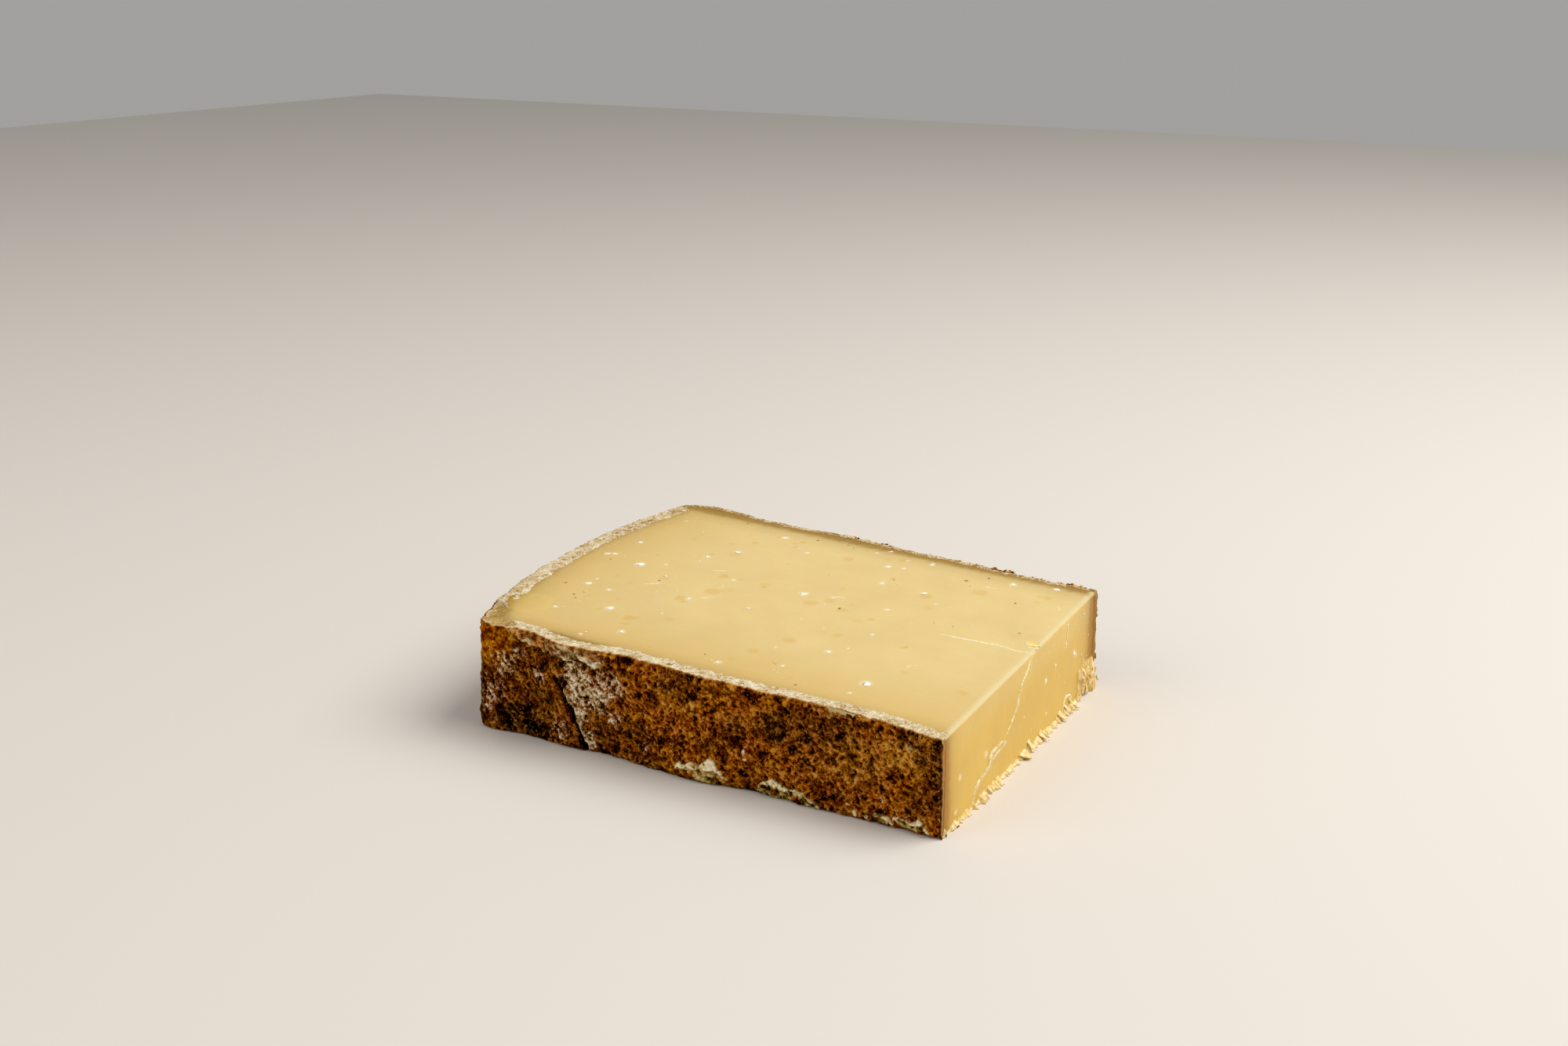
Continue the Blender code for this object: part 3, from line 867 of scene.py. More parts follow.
def top_relief(x, y, rim):
    """Height of the top, how deep each point is in an eye, and how far it is broken off."""
    spots = np.column_stack([x, y, np.zeros(len(x))])
    z = top_height(x, y)
    for wave, height, seed in TOP_WAVES:
        z += height * noise_at(spots, wave, seed)
    z -= VALLEY_DEPTH * hill(rim - VALLEY_PLACE, VALLEY_HALF_WIDTH)
    z += SMEAR_PROUD * smear_at(x, y)
    bent_x = x + EYE_WARP * noise_at(spots, 1.6 * MM, 5.0)
    bent_y = y + EYE_WARP * noise_at(spots, 1.6 * MM, 9.0)
    eye = np.zeros(len(x))
    for eye_x, eye_y, radius, strength in EYES:
        away = np.hypot(bent_x - eye_x * MM, bent_y - eye_y * MM)
        eye = np.maximum(eye, strength * (1.0 - rise(away, 0.6 * radius * MM, 1.0 * radius * MM)))
    z -= EYE_DEPTH * eye
    z -= HOLLOW_DEPTH * hollow_at(x, y)
    drop = chip_drop(np.column_stack([x, y]))
    under_crust = UNDER_CRUST_DEPTH * (1 - rise(rim, *UNDER_CRUST_SPAN)) * (drop > 0)
    return z - drop - under_crust, eye, drop


def shape_paste(piece):
    plain = get_points(piece)
    top = plain[:, 2] > TOP_HEIGHT - TOUCH
    foot = plain[:, 2] < TOUCH
    edge = np.clip((TOP_HEIGHT - plain[:, 2]) / BLOCK_EDGE, 0.0, 1.0)
    face = np.clip((TOP_HEIGHT - BLOCK_EDGE - plain[:, 2]) / (TOP_HEIGHT - BLOCK_EDGE), 0.0, 1.0)
    x, y, left, right, heel_x = paste_plan(plain)
    rim = np.minimum(np.minimum(y + HALF_WHEEL, HALF_WHEEL - y), x - heel_x)
    z, eye, drop = top_relief(x, y, rim)

    turn = edge * math.pi / 2
    shoulder = top_height(right, y) - RUBBED_DROP
    side_x = right - RUBBED_INSET * (1 - np.sin(turn))
    side_z = np.where(face > 0, shoulder * (1 - face), shoulder + RUBBED_DROP * np.cos(turn))
    out, torn = cut_relief(y, side_z)
    side_x += out * np.clip(3 * edge**2 - 1, 0.0, 1.0)
    x = np.where(top, x, side_x)
    z = np.where(top, z, side_z)
    inner = foot & (plain[:, 0] < TOUCH)
    x = np.where(inner, left, x)
    spots = np.column_stack([x, y, z])
    set_points(piece, spots)

    # Painted sheen and rubbing: a pale line along the rounded edge at the right end
    on_shoulder = np.where(top, rise(plain[:, 0] / BLOCK_LENGTH, 0.9925, 1.0), 1 - rise(edge, 0.72, 1.0))
    patchy = 0.85 + 0.3 * noise_at(spots, 3.0 * MM, 8.0)
    frost = np.where(top, frost_at(x, y, CRYSTALS_ON_TOP, spots),
                     frost_at(y, z, CRYSTALS_ON_CUT, spots))
    from_rind = np.minimum(y + HALF_WHEEL, 0.8 * (x - heel_x))
    pale = np.where(top, 0.0, PALE_TOP * rise(side_z, *PALE_TOP_SPAN))
    smeared = np.maximum(SMEAR_TONE * smear_at(x, y), hollow_at(x, y))
    set_attributes(piece, {
        "rim": drying_at(spots, side_z, heel_x, top),
        "aged": AGED_TONE * (1 - rise(from_rind, 0.0, AGED_REACH)),
        "chip": np.where(top, CHIP_TONE * rise(drop, 0.1 * MM, 0.9 * MM), 0.0),
        "fresh": edge * (1 - pale),
        "eye": np.where(top, EYE_TONE * eye, 0.0),
        "rub_and_sheen": RUB_AND_SHEEN_TONE * np.clip(on_shoulder * patchy, 0.0, 1.0),
        "torn": np.where(top, 0.0, torn),
        "frost": FROST_WHITE * frost,
        "smear": np.where(top, smeared, 0.0),
    })


def drying_at(spots, side_z, heel_x, top):
    """How far each point is from the rind, as a share of how far the rind dries the paste; along the back
    of the top this also paints the shade of the raised band.
    """
    x, y, z = spots.T
    front_drying = np.where(top, FRONT_DRYING, CUT_DRYING + CUT_DRYING_RISE * side_z / TOP_HEIGHT)
    back_drying = np.where(top, BACK_DRYING_AND_SHADE, BACK_DRYING_ON_CUT)
    to_rind = np.minimum(front_drying * (y + HALF_WHEEL), back_drying * (HALF_WHEEL - y))
    to_rind = np.where(top, np.minimum(to_rind, HEEL_DRYING * (x - heel_x)), to_rind) / RIM_REACH
    in_flap = behind_line(y, z, FLAP_LINE, FLAP_FADE) > 0
    to_rind = np.where(~top & in_flap, np.maximum(to_rind, LEAST_FLAP_RIM), to_rind)
    return np.clip(to_rind, 0.0, 1.0)


shape_paste(paste)
finish_piece(paste, PASTE, replaced=True)

# %% [markdown]
# ## The crust
#
# The crust is one long strip of rind, but a strip in one length would have more faces than a
# piece may, so it is laid in three: the front with its corner, the heel and the back. Each
# starts as an upright grid as long as its stretch. The top edge is extruded inwards to make the
# pale band of the cut crust, and on down to the foot to close it. Then the strip is wrapped
# round the plan and takes its relief.

# %% The three lengths of the crust
BAND_STEPS = 14
BAND_WIDTHS = {"front_rind": 5.4 * MM, "heel_rind": 6.3 * MM, "back_rind": 2.5 * MM}
CAP_RING = 0.12 * MM
CORNER_OVERLAP = 12.0 * MM
END_GAP = 0.22 * MM
BACK_LENGTH = BACK_RIGHT_X - BACK_LEFT_X + 2.0 * MM
FRONT_LENGTH = FRONT_RIGHT_X - FRONT_LEFT_X + CORNER_OVERLAP
STRETCHES = {
    "back_rind": (END_GAP, BACK_LENGTH, 0.32 * MM),
    "heel_rind": (BACK_LENGTH, PATH_LENGTH - FRONT_LENGTH, 0.30 * MM),
    "front_rind": (PATH_LENGTH - FRONT_LENGTH, PATH_LENGTH - END_GAP, 0.23 * MM),
}


def model_strip(name):
    """An upright strip: X is the way along the path, Y runs into the cheese, Z is up."""
    start, end, spacing = STRETCHES[name]
    length = end - start
    centre = ((start + end) / 2, 0.0, TOP_HEIGHT / 2)
    steps = (round(length / spacing), round(TOP_HEIGHT / spacing))
    piece = flat_grid(name, length, TOP_HEIGHT, *steps, centre, (math.pi / 2, 0.0, 0.0))
    step = BAND_WIDTHS[name] / BAND_STEPS
    depth = 0.0
    for _ in range(BAND_STEPS):
        pick_edges(piece, lambda point: point.z > TOP_HEIGHT - TOUCH and point.y > depth - TOUCH)
        extrude_by((0.0, step, 0.0))
        depth += step
    pick_edges(piece, lambda point: point.y > depth - TOUCH)
    extrude_by((0.0, 0.0, -TOP_HEIGHT))
    pick_edges(piece, lambda point: point.z < TOUCH and point.y < TOUCH)
    extrude_by((0.0, depth, 0.0))
    close_up()
    inset_ends(piece)
    return piece


def inset_ends(piece):
    """Insets the two filled ends, so that they can have colours of their own."""
    only(piece)
    bpy.ops.object.mode_set(mode="EDIT")
    bpy.ops.mesh.select_all(action="DESELECT")
    mesh = bmesh.from_edit_mesh(piece.data)
    for face in mesh.faces:
        if len(face.verts) > 4:
            face.select_set(True)
    bmesh.update_edit_mesh(piece.data)
    bpy.ops.mesh.inset(thickness=CAP_RING)
    bpy.ops.object.mode_set(mode="OBJECT")


strips = [model_strip(name) for name in STRETCHES]
print("points of the strips:", [len(strip.data.vertices) for strip in strips])

# %% [markdown]
# ### Relief of the rind
#
# Besides the swells and crags there is a crease down the front where the crust has folded, with
# a pale ridge on its right. Shade is painted into the crease, and the pale of the ridge is partly
# a painted highlight. At the left a crumbly lip hangs below the band, and runs on to the right as
# a low dark line, which is painted shade under the lip. Near the foot lie three loose flakes with
# ragged pale edges. Fine grain covers it all. It only cuts inwards from the crags, so the crust
# never outgrows the solid.

# %% Lines of the crease, the lip and the flakes on the front, in mm
CREASE = ((22.2, 18.0), (23.4, 15.2), (24.6, 12.9), (26.2, 10.2), (27.4, 8.0), (28.3, 5.2),
          (29.3, 2.6), (30.6, 0.0))
CREASE_DEPTH = 0.6 * MM
CREASE_HALF_WIDTH = 1.1 * MM
CREASE_TOP = (16.5 * MM, 18.5 * MM)
RIDGE_SHIFT = 1.0 * MM
RIDGE_HALF_WIDTH = 0.9 * MM
RIDGE_PROUD = 0.45 * MM
RIDGE_FOOT = (2.0 * MM, 6.0 * MM)
LIP = ((8.3, 25.4), (9.3, 24.9), (10.8, 24.3), (12.4, 23.8), (14.2, 23.4), (16.2, 23.3),
       (18.2, 23.1), (20.0, 22.9), (23.0, 22.5), (27.0, 22.4), (31.0, 22.6), (34.0, 22.9),
       (36.5, 23.6))
LIP_ORANGE = (18.0 * MM, 24.0 * MM)
LIP_PROUD = 0.40 * MM
LIP_START = (8.0 * MM, 9.5 * MM)
LIP_END = (34.0 * MM, 37.0 * MM)
UNDER_LIP_DEPTH = 0.3 * MM

# Each flake is a row of X, the height of its upper edge, how thick the pale edge is, and its foot
FLAKES = (
    ((55.9, 2.6, 0.5, 2.4), (56.6, 4.1, 1.4, 2.0), (57.4, 3.3, 0.6, 2.2), (59.0, 3.9, 0.9, 1.6),
     (61.1, 4.6, 1.4, 0.6), (62.0, 3.8, 0.7, 0.1), (62.8, 4.9, 1.6, 0.0), (63.6, 5.4, 2.2, 0.0),
     (64.3, 5.9, 2.6, 0.0), (65.6, 6.0, 2.2, 0.3), (66.1, 4.4, 1.3, 0.8), (66.8, 3.6, 0.9, 1.2),
     (67.6, 3.3, 0.8, 2.0), (68.0, 2.4, 0.3, 2.0), (69.2, 2.2, 0.2, 2.0)),
    ((76.6, 1.5, 0.4, 1.0), (77.3, 3.0, 0.5, 0.6), (78.6, 3.7, 0.6, 0.4), (79.8, 4.3, 0.9, 0.2),
     (80.3, 4.7, 1.5, 0.0), (81.2, 4.2, 1.6, 0.0), (82.6, 3.9, 1.4, 0.0), (83.5, 3.0, 0.6, 0.0),
     (84.6, 2.9, 0.4, 0.0), (86.2, 3.2, 0.4, 0.0), (88.2, 2.8, 0.3, 0.0), (89.4, 2.4, 0.4, 0.0),
     (89.9, 1.8, 0.5, 0.0), (91.0, 1.4, 0.3, 0.2), (92.4, 0.6, 0.4, 0.0)),
    ((105.3, 2.0, 0.3, 1.6), (105.8, 2.5, 0.8, 1.0), (107.6, 2.3, 0.7, 0.3), (109.0, 2.3, 0.7, 0.3),
     (109.8, 1.0, 0.3, 0.5), (110.2, 3.0, 0.4, 2.4), (112.2, 2.9, 0.5, 0.5), (113.3, 2.9, 0.6, 0.5),
     (113.7, 2.3, 0.4, 0.5), (115.4, 2.9, 0.8, 0.5), (115.9, 3.6, 1.5, 0.8), (116.7, 3.0, 1.0, 0.8),
     (117.6, 2.1, 0.6, 0.8), (118.7, 1.2, 0.4, 0.8)),
)
FLAKE_PROUD = 0.55 * MM
GRAIN_DEPTH = 0.62 * MM
GRAIN_LEVEL = 0.62

# Brushing has drawn the middle grain out along a slanting line
BRUSH_SLANT = math.radians(-40)
BRUSH_STRETCH = 0.55
SLANTED = np.array([math.cos(BRUSH_SLANT), 0.0, math.sin(BRUSH_SLANT)])
BRUSHING = np.eye(3) - (1 - BRUSH_STRETCH) * np.outer(SLANTED, SLANTED)
CORNER_FOOT = 1.5 * MM
CORNER_FOOT_WIDTH = 14.0 * MM


def read_line(values, line, column=1):
    """A line's column at each value of its first column."""
    rows = np.array(line) * MM
    return np.interp(values, rows[:, 0], rows[:, column])


def crease_x(z):
    rows = np.array(CREASE)[::-1] * MM
    return np.interp(z, rows[:, 1], rows[:, 0])


def flake_shape(x, z):
    """How far each point is on a flake's body and on its pale edge, both 0 to 1."""
    body, pale = np.zeros(len(x)), np.zeros(len(x))
    for rows in FLAKES:
        within = (x > rows[0][0] * MM) & (x < rows[-1][0] * MM)
        below = read_line(x, rows, 1) - z
        thick = read_line(x, rows, 2)
        above = z - read_line(x, rows, 3)
        pale_here = rise(below, -0.1 * MM, 0.12 * MM) * (1 - rise(below - thick, -0.1 * MM, 0.25 * MM))
        body_here = rise(below, 0.0, 0.2 * MM) * rise(above, -0.1 * MM, 0.4 * MM)
        pale = np.maximum(pale, pale_here * within)
        body = np.maximum(body, body_here * within)
    return body, pale


def grain_at(spots):
    """Height in the grain: about 0 in the pits and 1 on the crests."""
    ridges = 1.0 - 1.9 * np.abs(noise_at(spots, 1.35 * MM, 3.0))
    brushed = spots @ BRUSHING
    middle = 0.5 + 1.1 * noise_at(brushed, 0.75 * MM, 7.0)
    small = 0.5 + 1.1 * noise_at(spots, 0.48 * MM, 1.0)
    open_pits = rise(noise_at(spots, 3.2 * MM, 11.0), -0.55, -0.15)
    grain = 0.36 * ridges + 0.34 * middle + 0.30 * small
    return np.clip(grain * (0.55 + 0.45 * open_pits), 0.0, 1.0)


def front_marks(x, z, spots):
    """Relief in metres of the marks on the front, and how far each point is on each kind."""
    bent_x = x + 0.30 * MM * noise_at(spots, 0.9 * MM, 51.0)
    bent_z = z + 0.30 * MM * noise_at(spots, 0.9 * MM, 55.0) + 0.35 * MM * noise_at(spots, 2.4 * MM, 57.0)
    from_crease = bent_x + 0.8 * MM * noise_at(spots, 2.6 * MM, 59.0) - crease_x(bent_z)
    below_top = 1 - rise(z, *CREASE_TOP)
    fold = hill(from_crease + 0.2 * MM, CREASE_HALF_WIDTH) * below_top
    ridge = hill(from_crease - RIDGE_SHIFT, RIDGE_HALF_WIDTH) * below_top * rise(z, *RIDGE_FOOT)
    above_lip = bent_z + 0.5 * MM * noise_at(spots, 1.2 * MM, 58.0) - read_line(bent_x, LIP)
    in_lip = rise(x, *LIP_START) * (1 - rise(x, *LIP_END))
    lip = rise(above_lip, -0.12 * MM, 0.12 * MM) * in_lip
    lip_edge = hill(above_lip - 0.25 * MM, 0.4 * MM) * in_lip
    under_lip = hill(above_lip + 0.5 * MM, 0.6 * MM) * in_lip
    body, pale = flake_shape(bent_x, bent_z)
    raised = RIDGE_PROUD * ridge - CREASE_DEPTH * fold + LIP_PROUD * lip
    raised -= UNDER_LIP_DEPTH * under_lip
    raised += FLAKE_PROUD * np.maximum(0.35 * body, pale)
    kinds = {"fold": fold, "ridge": ridge, "lip": lip, "lip_edge": lip_edge, "under": under_lip,
             "body": body, "pale": pale}
    return raised, kinds


def wall_relief(plan, z, share):
    """How far the wall stands out from the plan, its grain, and its marks at each point."""
    spots = np.column_stack([plan, z])
    front = plan[:, 1] < -FLAT_SIDE_Y
    back = plan[:, 1] > FLAT_SIDE_Y
    x = plan[:, 0]
    out = crags_at(spots)
    out += np.where(front, swells(x, share, FRONT_SWELLS), 0.0)
    out += np.where(back, swells(x, share, BACK_SWELLS), 0.0)
    from_corner = np.hypot(x - FRONT_LEFT_X, plan[:, 1] + HALF_WHEEL)
    out += CORNER_FOOT * hill(from_corner, CORNER_FOOT_WIDTH) * (1 - share)
    grain = grain_at(spots)
    raised, kinds = front_marks(x, z, spots)
    out += GRAIN_DEPTH * (grain - GRAIN_LEVEL) + np.where(front, raised, 0.0)
    kinds = {name: np.where(front, value, 0.0) for name, value in kinds.items()}
    kinds["grain"] = grain
    return out, kinds


# %% Wrap each strip round the plan
EDGE_DROP = 0.40 * MM
EDGE_INSET = 0.35 * MM
BAND_PROUD = 0.14 * MM
BAND_SINK = 0.75 * MM
BAND_WOBBLE = 0.5 * MM
FINE_WOBBLE = 0.4 * MM
CRUMB_HEIGHT = 0.20 * MM
CRUMB_SIZES = (0.95 * MM, 0.55 * MM)
BAND_LUMPS = 0.14 * MM
BROKEN_CRUMBS = 0.16 * MM
FOOT_INSET = 0.7 * MM
FOOT_ROUNDING = 0.5 * MM


def rubbed_drop(s):
    """How far the rubbed edge of the cut end lowers the crust near its two ends."""
    away = np.minimum(s, PATH_LENGTH - s)
    turn = np.clip(1.0 - away / RUBBED_INSET, 0.0, 1.0)
    return RUBBED_DROP * (1.0 - np.sqrt(1.0 - turn**2))


def shape_strip(piece):
    plain = get_points(piece)
    s, depth = plain[:, 0], plain[:, 1]
    share = plain[:, 2] / TOP_HEIGHT
    wall = depth < TOUCH
    band = (share > 1 - TOUCH) & ~wall
    cap = ~wall & ~band & (share > TOUCH)
    plan = on_path(PATH_XY, s)
    outward = on_path(OUTWARD, s)
    inward = on_path(INWARD, s)
    lid = top_height(plan[:, 0], plan[:, 1]) - rubbed_drop(s)
    z = (lid - EDGE_DROP) * share
    out, looks = wall_relief(plan, z, share)
    foot_round = FOOT_INSET * np.clip(1.0 - z / FOOT_ROUNDING, 0.0, 1.0)
    xy = plan + outward * (out - foot_round)[:, None]

    width = BAND_WIDTHS[piece.name]
    spots = np.column_stack([plan + inward * depth[:, None], np.zeros(len(s))])
    wobble = BAND_WOBBLE * noise_at(spots, 5.0 * MM, 21.0) + FINE_WOBBLE * noise_at(spots, 1.3 * MM, 23.0)
    inner = depth + wobble * depth / width
    xy = xy + inward * np.where(wall, 0.0, inner)[:, None]
    crumb_spots = np.column_stack([xy, np.zeros(len(s))])
    large, small = CRUMB_SIZES
    crumbs = 0.6 * cells_at(crumb_spots, large, 5.0) + 0.4 * cells_at(crumb_spots, small, 8.0)
    lumps = noise_at(crumb_spots, 2.3 * MM, 2.0)
    cover = top_height(xy[:, 0], xy[:, 1]) - rubbed_drop(s)
    sink = BAND_SINK * rise(depth / width, 0.66, 1.0)
    edge_fall = EDGE_DROP * (1 - rise(depth, 0.0, EDGE_INSET * 1.4))
    band_z = cover + BAND_PROUD + CRUMB_HEIGHT * (crumbs - 0.6) + BAND_LUMPS * lumps - sink - edge_fall
    z = np.where(band, band_z, z)

    drop = chip_drop(xy)
    broken = top_height(xy[:, 0], xy[:, 1]) - drop + BROKEN_CRUMBS * (crumbs - 0.5)
    broken -= BAND_SINK * rise(depth / width, 0.8, 1.0)
    chipped = (drop > 0) & (share > TOUCH)
    z = np.where(chipped & band, np.minimum(z, broken), z)
    z = np.where(chipped & ~band, np.minimum(z, broken * share), z)
    z = np.where(share < TOUCH, 0.0, z)
    set_points(piece, np.column_stack([xy, z]))
    looks["crumbs"] = crumbs
    paint_strip(piece, plan, xy, z, depth, band, cap, drop, looks)


# Patches on the front as X, Z, half width and half height in mm, and how strong
LIGHT = ((54, 18, 9, 4, 0.4), (59.5, 17, 3, 2.5, 0.7), (100, 13, 12, 7, 0.6), (112.5, 17, 7, 5, 0.9),
         (90, 9, 6, 4, 0.4), (36, 6, 5, 4, 0.35), (18, 12, 5, 3, 0.4), (100, 24.8, 24, 1.0, 0.7),
         (70, 15, 4, 3, 0.4), (8, 17, 3, 3, 0.4))
# In DARK the long low strip at X 60 and Z 0.6 is painted contact shade along the foot
DARK = ((80.5, 16.5, 5, 5.5, 0.85), (86, 20, 5, 3.5, 0.5), (64, 9, 4, 3, 0.5), (120, 15, 2.4, 13, 0.8),
        (114, 22, 5, 1.6, 0.6), (104, 21, 4, 1.5, 0.5), (12, 3.5, 12, 7, 1.0), (24, 4, 6, 4, 0.5),
        (15.5, 15, 2.6, 3.4, 0.75), (19, 10, 5, 6, 0.6), (5, 12, 3, 6, 0.45), (25, 20.6, 1.8, 1.5, 1.0),
        (0.4, 11, 1.6, 14, 1.0), (20.5, 20.5, 5, 2, 0.6), (27, 24, 1.8, 0.8, 0.8), (43, 8, 9, 5, 0.55),
        (36, 3, 6, 4, 0.5), (74, 4, 4, 3, 0.4), (60, 0.6, 70, 0.9, 0.8), (40, 21.5, 5, 2, 0.4),
        (50, 3, 5, 2.5, 0.5), (97, 3, 5, 3, 0.4), (66, 22, 6, 2, 0.35))
BLOOM = ((29, 16.5, 5, 6.5, 0.85), (27, 21, 2.6, 3, 0.9), (33, 13.5, 5, 4.5, 0.7), (38, 16, 5, 3, 0.5),
         (38.5, 10, 3.5, 2.5, 0.5), (29, 9, 2.5, 3, 0.8), (31.5, 3.5, 2, 3, 0.7), (33, 22.6, 3, 0.7, 1.0),
         (17, 16.5, 3, 2, 0.5), (7, 17, 5, 5, 0.45), (3, 19, 2.5, 2, 0.4), (3.5, 9, 4.5, 9, 0.35),
         (23, 4, 5, 3.5, 0.4), (12, 20.5, 3, 1.2, 0.4), (36, 19, 7, 3, 0.5), (72.6, 9.4, 0.6, 0.6, 1.0),
         (72.9, 7.6, 0.6, 0.6, 1.0), (68.4, 7.7, 0.5, 0.5, 0.9), (106.9, 5.9, 0.8, 0.5, 0.9),
         (99.2, 3, 0.7, 0.6, 0.8), (100.8, 1.2, 0.6, 0.9, 1.0), (103.5, 1.2, 0.5, 1.1, 1.0),
         (61.2, 24.6, 0.9, 0.6, 0.9), (113.5, 19.5, 1.6, 1.0, 0.45), (47, 5, 2, 2, 0.35))
CREAM = ((30.5, 23.6, 2.4, 0.8, 0.8), (33.6, 21.6, 2.5, 0.9, 0.9), (10.5, 21.4, 1.5, 0.6, 0.6))
CORNER_END = (0.8 * MM, -38.0 * MM)
AMBER_X = 2.4 * MM
AMBER_HALF_WIDTH = 8.5 * MM
AMBER_HEIGHTS = (15.5 * MM, 20.5 * MM)
LIP_AMBER = 0.8
CORNER_DARK = 0.85
# Painted shade: the left part of the front rind is darker, fading out between X 16 and 45 mm
LEFT_SHADE = 0.42
SLOW_DARK = 0.5
# On the crease's ridge the cream is pale crust and a painted highlight
RIDGE_CREAM_AND_HIGHLIGHT = 0.60
UNSEEN_BLOOM = 0.5
BAND_EDGE_REACH = 4.0 * MM


def patches(x, z, spots, table):
    """How far each point lies in a patch of the table, with ragged edges."""
    bent_x = (x + 1.0 * MM * noise_at(spots, 3.1 * MM, 61.0)) / MM
    bent_z = (z + 1.0 * MM * noise_at(spots, 3.1 * MM, 65.0)) / MM
    total = np.zeros(len(x))
    for centre_x, centre_z, half_width, half_height, amount in table:
        away = np.hypot((bent_x - centre_x) / half_width, (bent_z - centre_z) / half_height)
        total = np.maximum(total, np.minimum(amount, 1.5 * amount * hill(away, 1.15)))
    return total * rise(total + 0.5 * noise_at(spots, 1.3 * MM, 67.0), 0.0, 0.45)


def amber_at(x, z, lid, patchy, front, corner, lip):
    """How orange each point is: at the corner, just under the band and on the lip."""
    amber = hill(x - AMBER_X, AMBER_HALF_WIDTH) * rise(z + 1.4 * MM * patchy, *AMBER_HEIGHTS)
    under_band = hill(lid - z - 0.7 * MM, 0.8 * MM) * (1 - rise(x, 34 * MM, 42 * MM))
    amber = np.maximum(amber, under_band * rise(patchy, -0.1, 0.3) * rise(x, 8 * MM, 11 * MM))
    on_lip = LIP_AMBER * lip * (1 - rise(x, *LIP_ORANGE))
    return np.maximum(np.where(front | corner, amber, 0.0), on_lip)


def dark_at(x, z, slow, front, corner, in_patch, looks):
    """How dark each point is: in a patch, at the corner, and as painted shade at the left, in the crease
    and under the lip.
    """
    dark = np.where(corner, CORNER_DARK * (1 - rise(z, 17 * MM, 21 * MM)), in_patch)
    dark = np.maximum(dark, np.where(front, LEFT_SHADE * (1 - rise(x, 16 * MM, 45 * MM)), 0.0))
    dark = np.maximum(dark, SLOW_DARK * rise(-slow, 0.1, 0.5))
    # Painted shade in the crease and under the lip
    return np.maximum(dark, np.maximum(looks["fold"], looks["under"]))


def cream_at(patchy, spots, in_patch, looks):
    """How cream each point is: in a patch, on torn edges, on the lip, and on the ridge, where it is
    partly a painted highlight.
    """
    ragged_edge = 0.7 * looks["lip_edge"] * rise(patchy, -0.2, 0.3)
    cream = np.maximum(in_patch, np.maximum(ragged_edge, looks["pale"]))
    flecks = rise(noise_at(spots, 1.6 * MM, 17.0), -0.2, 0.3)
    cream = np.maximum(cream, looks["lip"] * (0.08 + 0.38 * flecks * rise(patchy, -0.4, 0.3)))
    return np.maximum(cream, RIDGE_CREAM_AND_HIGHLIGHT * looks["ridge"] * rise(patchy, -0.5, 0.0))


def paint_strip(piece, plan, xy, z, depth, band, cap, drop, looks):
    """Gives each point what the rind's material mixes its colours by."""
    x, y = plan.T
    front = y < -FLAT_SIDE_Y
    corner = (y < CORNER_END[1]) & (x < CORNER_END[0])
    spots = np.column_stack([plan, z])
    patchy = noise_at(spots, 3.0 * MM, 13.0) + 0.6 * noise_at(spots, 1.1 * MM, 14.0)
    slow = noise_at(spots, 9.0 * MM, 71.0)
    here = {name: np.where(front, patches(x, z, spots, table), 0.0)
            for name, table in (("light", LIGHT), ("dark", DARK), ("bloom", BLOOM), ("cream", CREAM))}
    speckle = 0.7 + 0.3 * rise(noise_at(spots, 0.7 * MM, 68.0), -0.25, 0.1)
    unseen_bloom = UNSEEN_BLOOM * rise(slow + 0.3 * patchy, 0.0, 0.6)
    chipped = (drop > 0) & band
    from_heel, _ = chip_distances(xy)
    # Painted shadow: a dark line along the heel side of the broken corner, where the broken rind edge
    # stands proud
    step_shadow = hill(from_heel - 0.2 * MM, 0.5 * MM) * ((drop > 0.1 * MM) & ~cap)
    white_edge = (1 - rise(depth, 0.5 * MM, 1.4 * MM)) * rise(patchy, -0.7, -0.1)
    dark = dark_at(x, z, slow, front, corner, here["dark"], looks)
    on_heel = ~front & (x < 0.5 * MM)
    behind = y > FLAT_SIDE_Y
    band_relief = 0.28 + 0.5 * looks["crumbs"] - 0.03 * on_heel - 0.16 * behind
    # In the crease the relief value is lowered, which paints more shade there
    relief = np.where(band, band_relief, looks["grain"] * (1 - 0.8 * looks["fold"]))
    set_attributes(piece, {
        "relief": np.where(cap, 0.5, relief),
        "section": band * 1.0,
        "depth": np.clip(depth / BAND_EDGE_REACH, 0.0, 1.0),
        "light": here["light"],
        "bloom": np.maximum(here["bloom"] * speckle, np.where(front, 0.0, unseen_bloom)),
        "amber": amber_at(x, z, top_height(x, y), patchy, front, corner, looks["lip"]),
        "dark": np.maximum(dark, 0.9 * step_shadow) * (1 - looks["pale"]),
        "flake": 0.85 * looks["body"] * rise(patchy, -0.5, 0.2),
        "cream": cream_at(patchy, spots, here["cream"], looks) * ~band,
        "chip": np.where(chipped, (1 - 0.9 * step_shadow) * (1 - 0.8 * white_edge), cap * 1.0),
    })


for strip in strips:
    shape_strip(strip)
    finish_piece(strip, RIND)

# %% [markdown]
# ### The cut section of the crust
#
# The plain cut also went through the crust, which shows on it as an upright tan edge, a few
# millimetres deep, brown and crumbly outside and darker yellow inside. Each is a thin closed
# plate that lies on the cut: its outer side follows the relief of the wall, and its inner side
# dips under the paste.

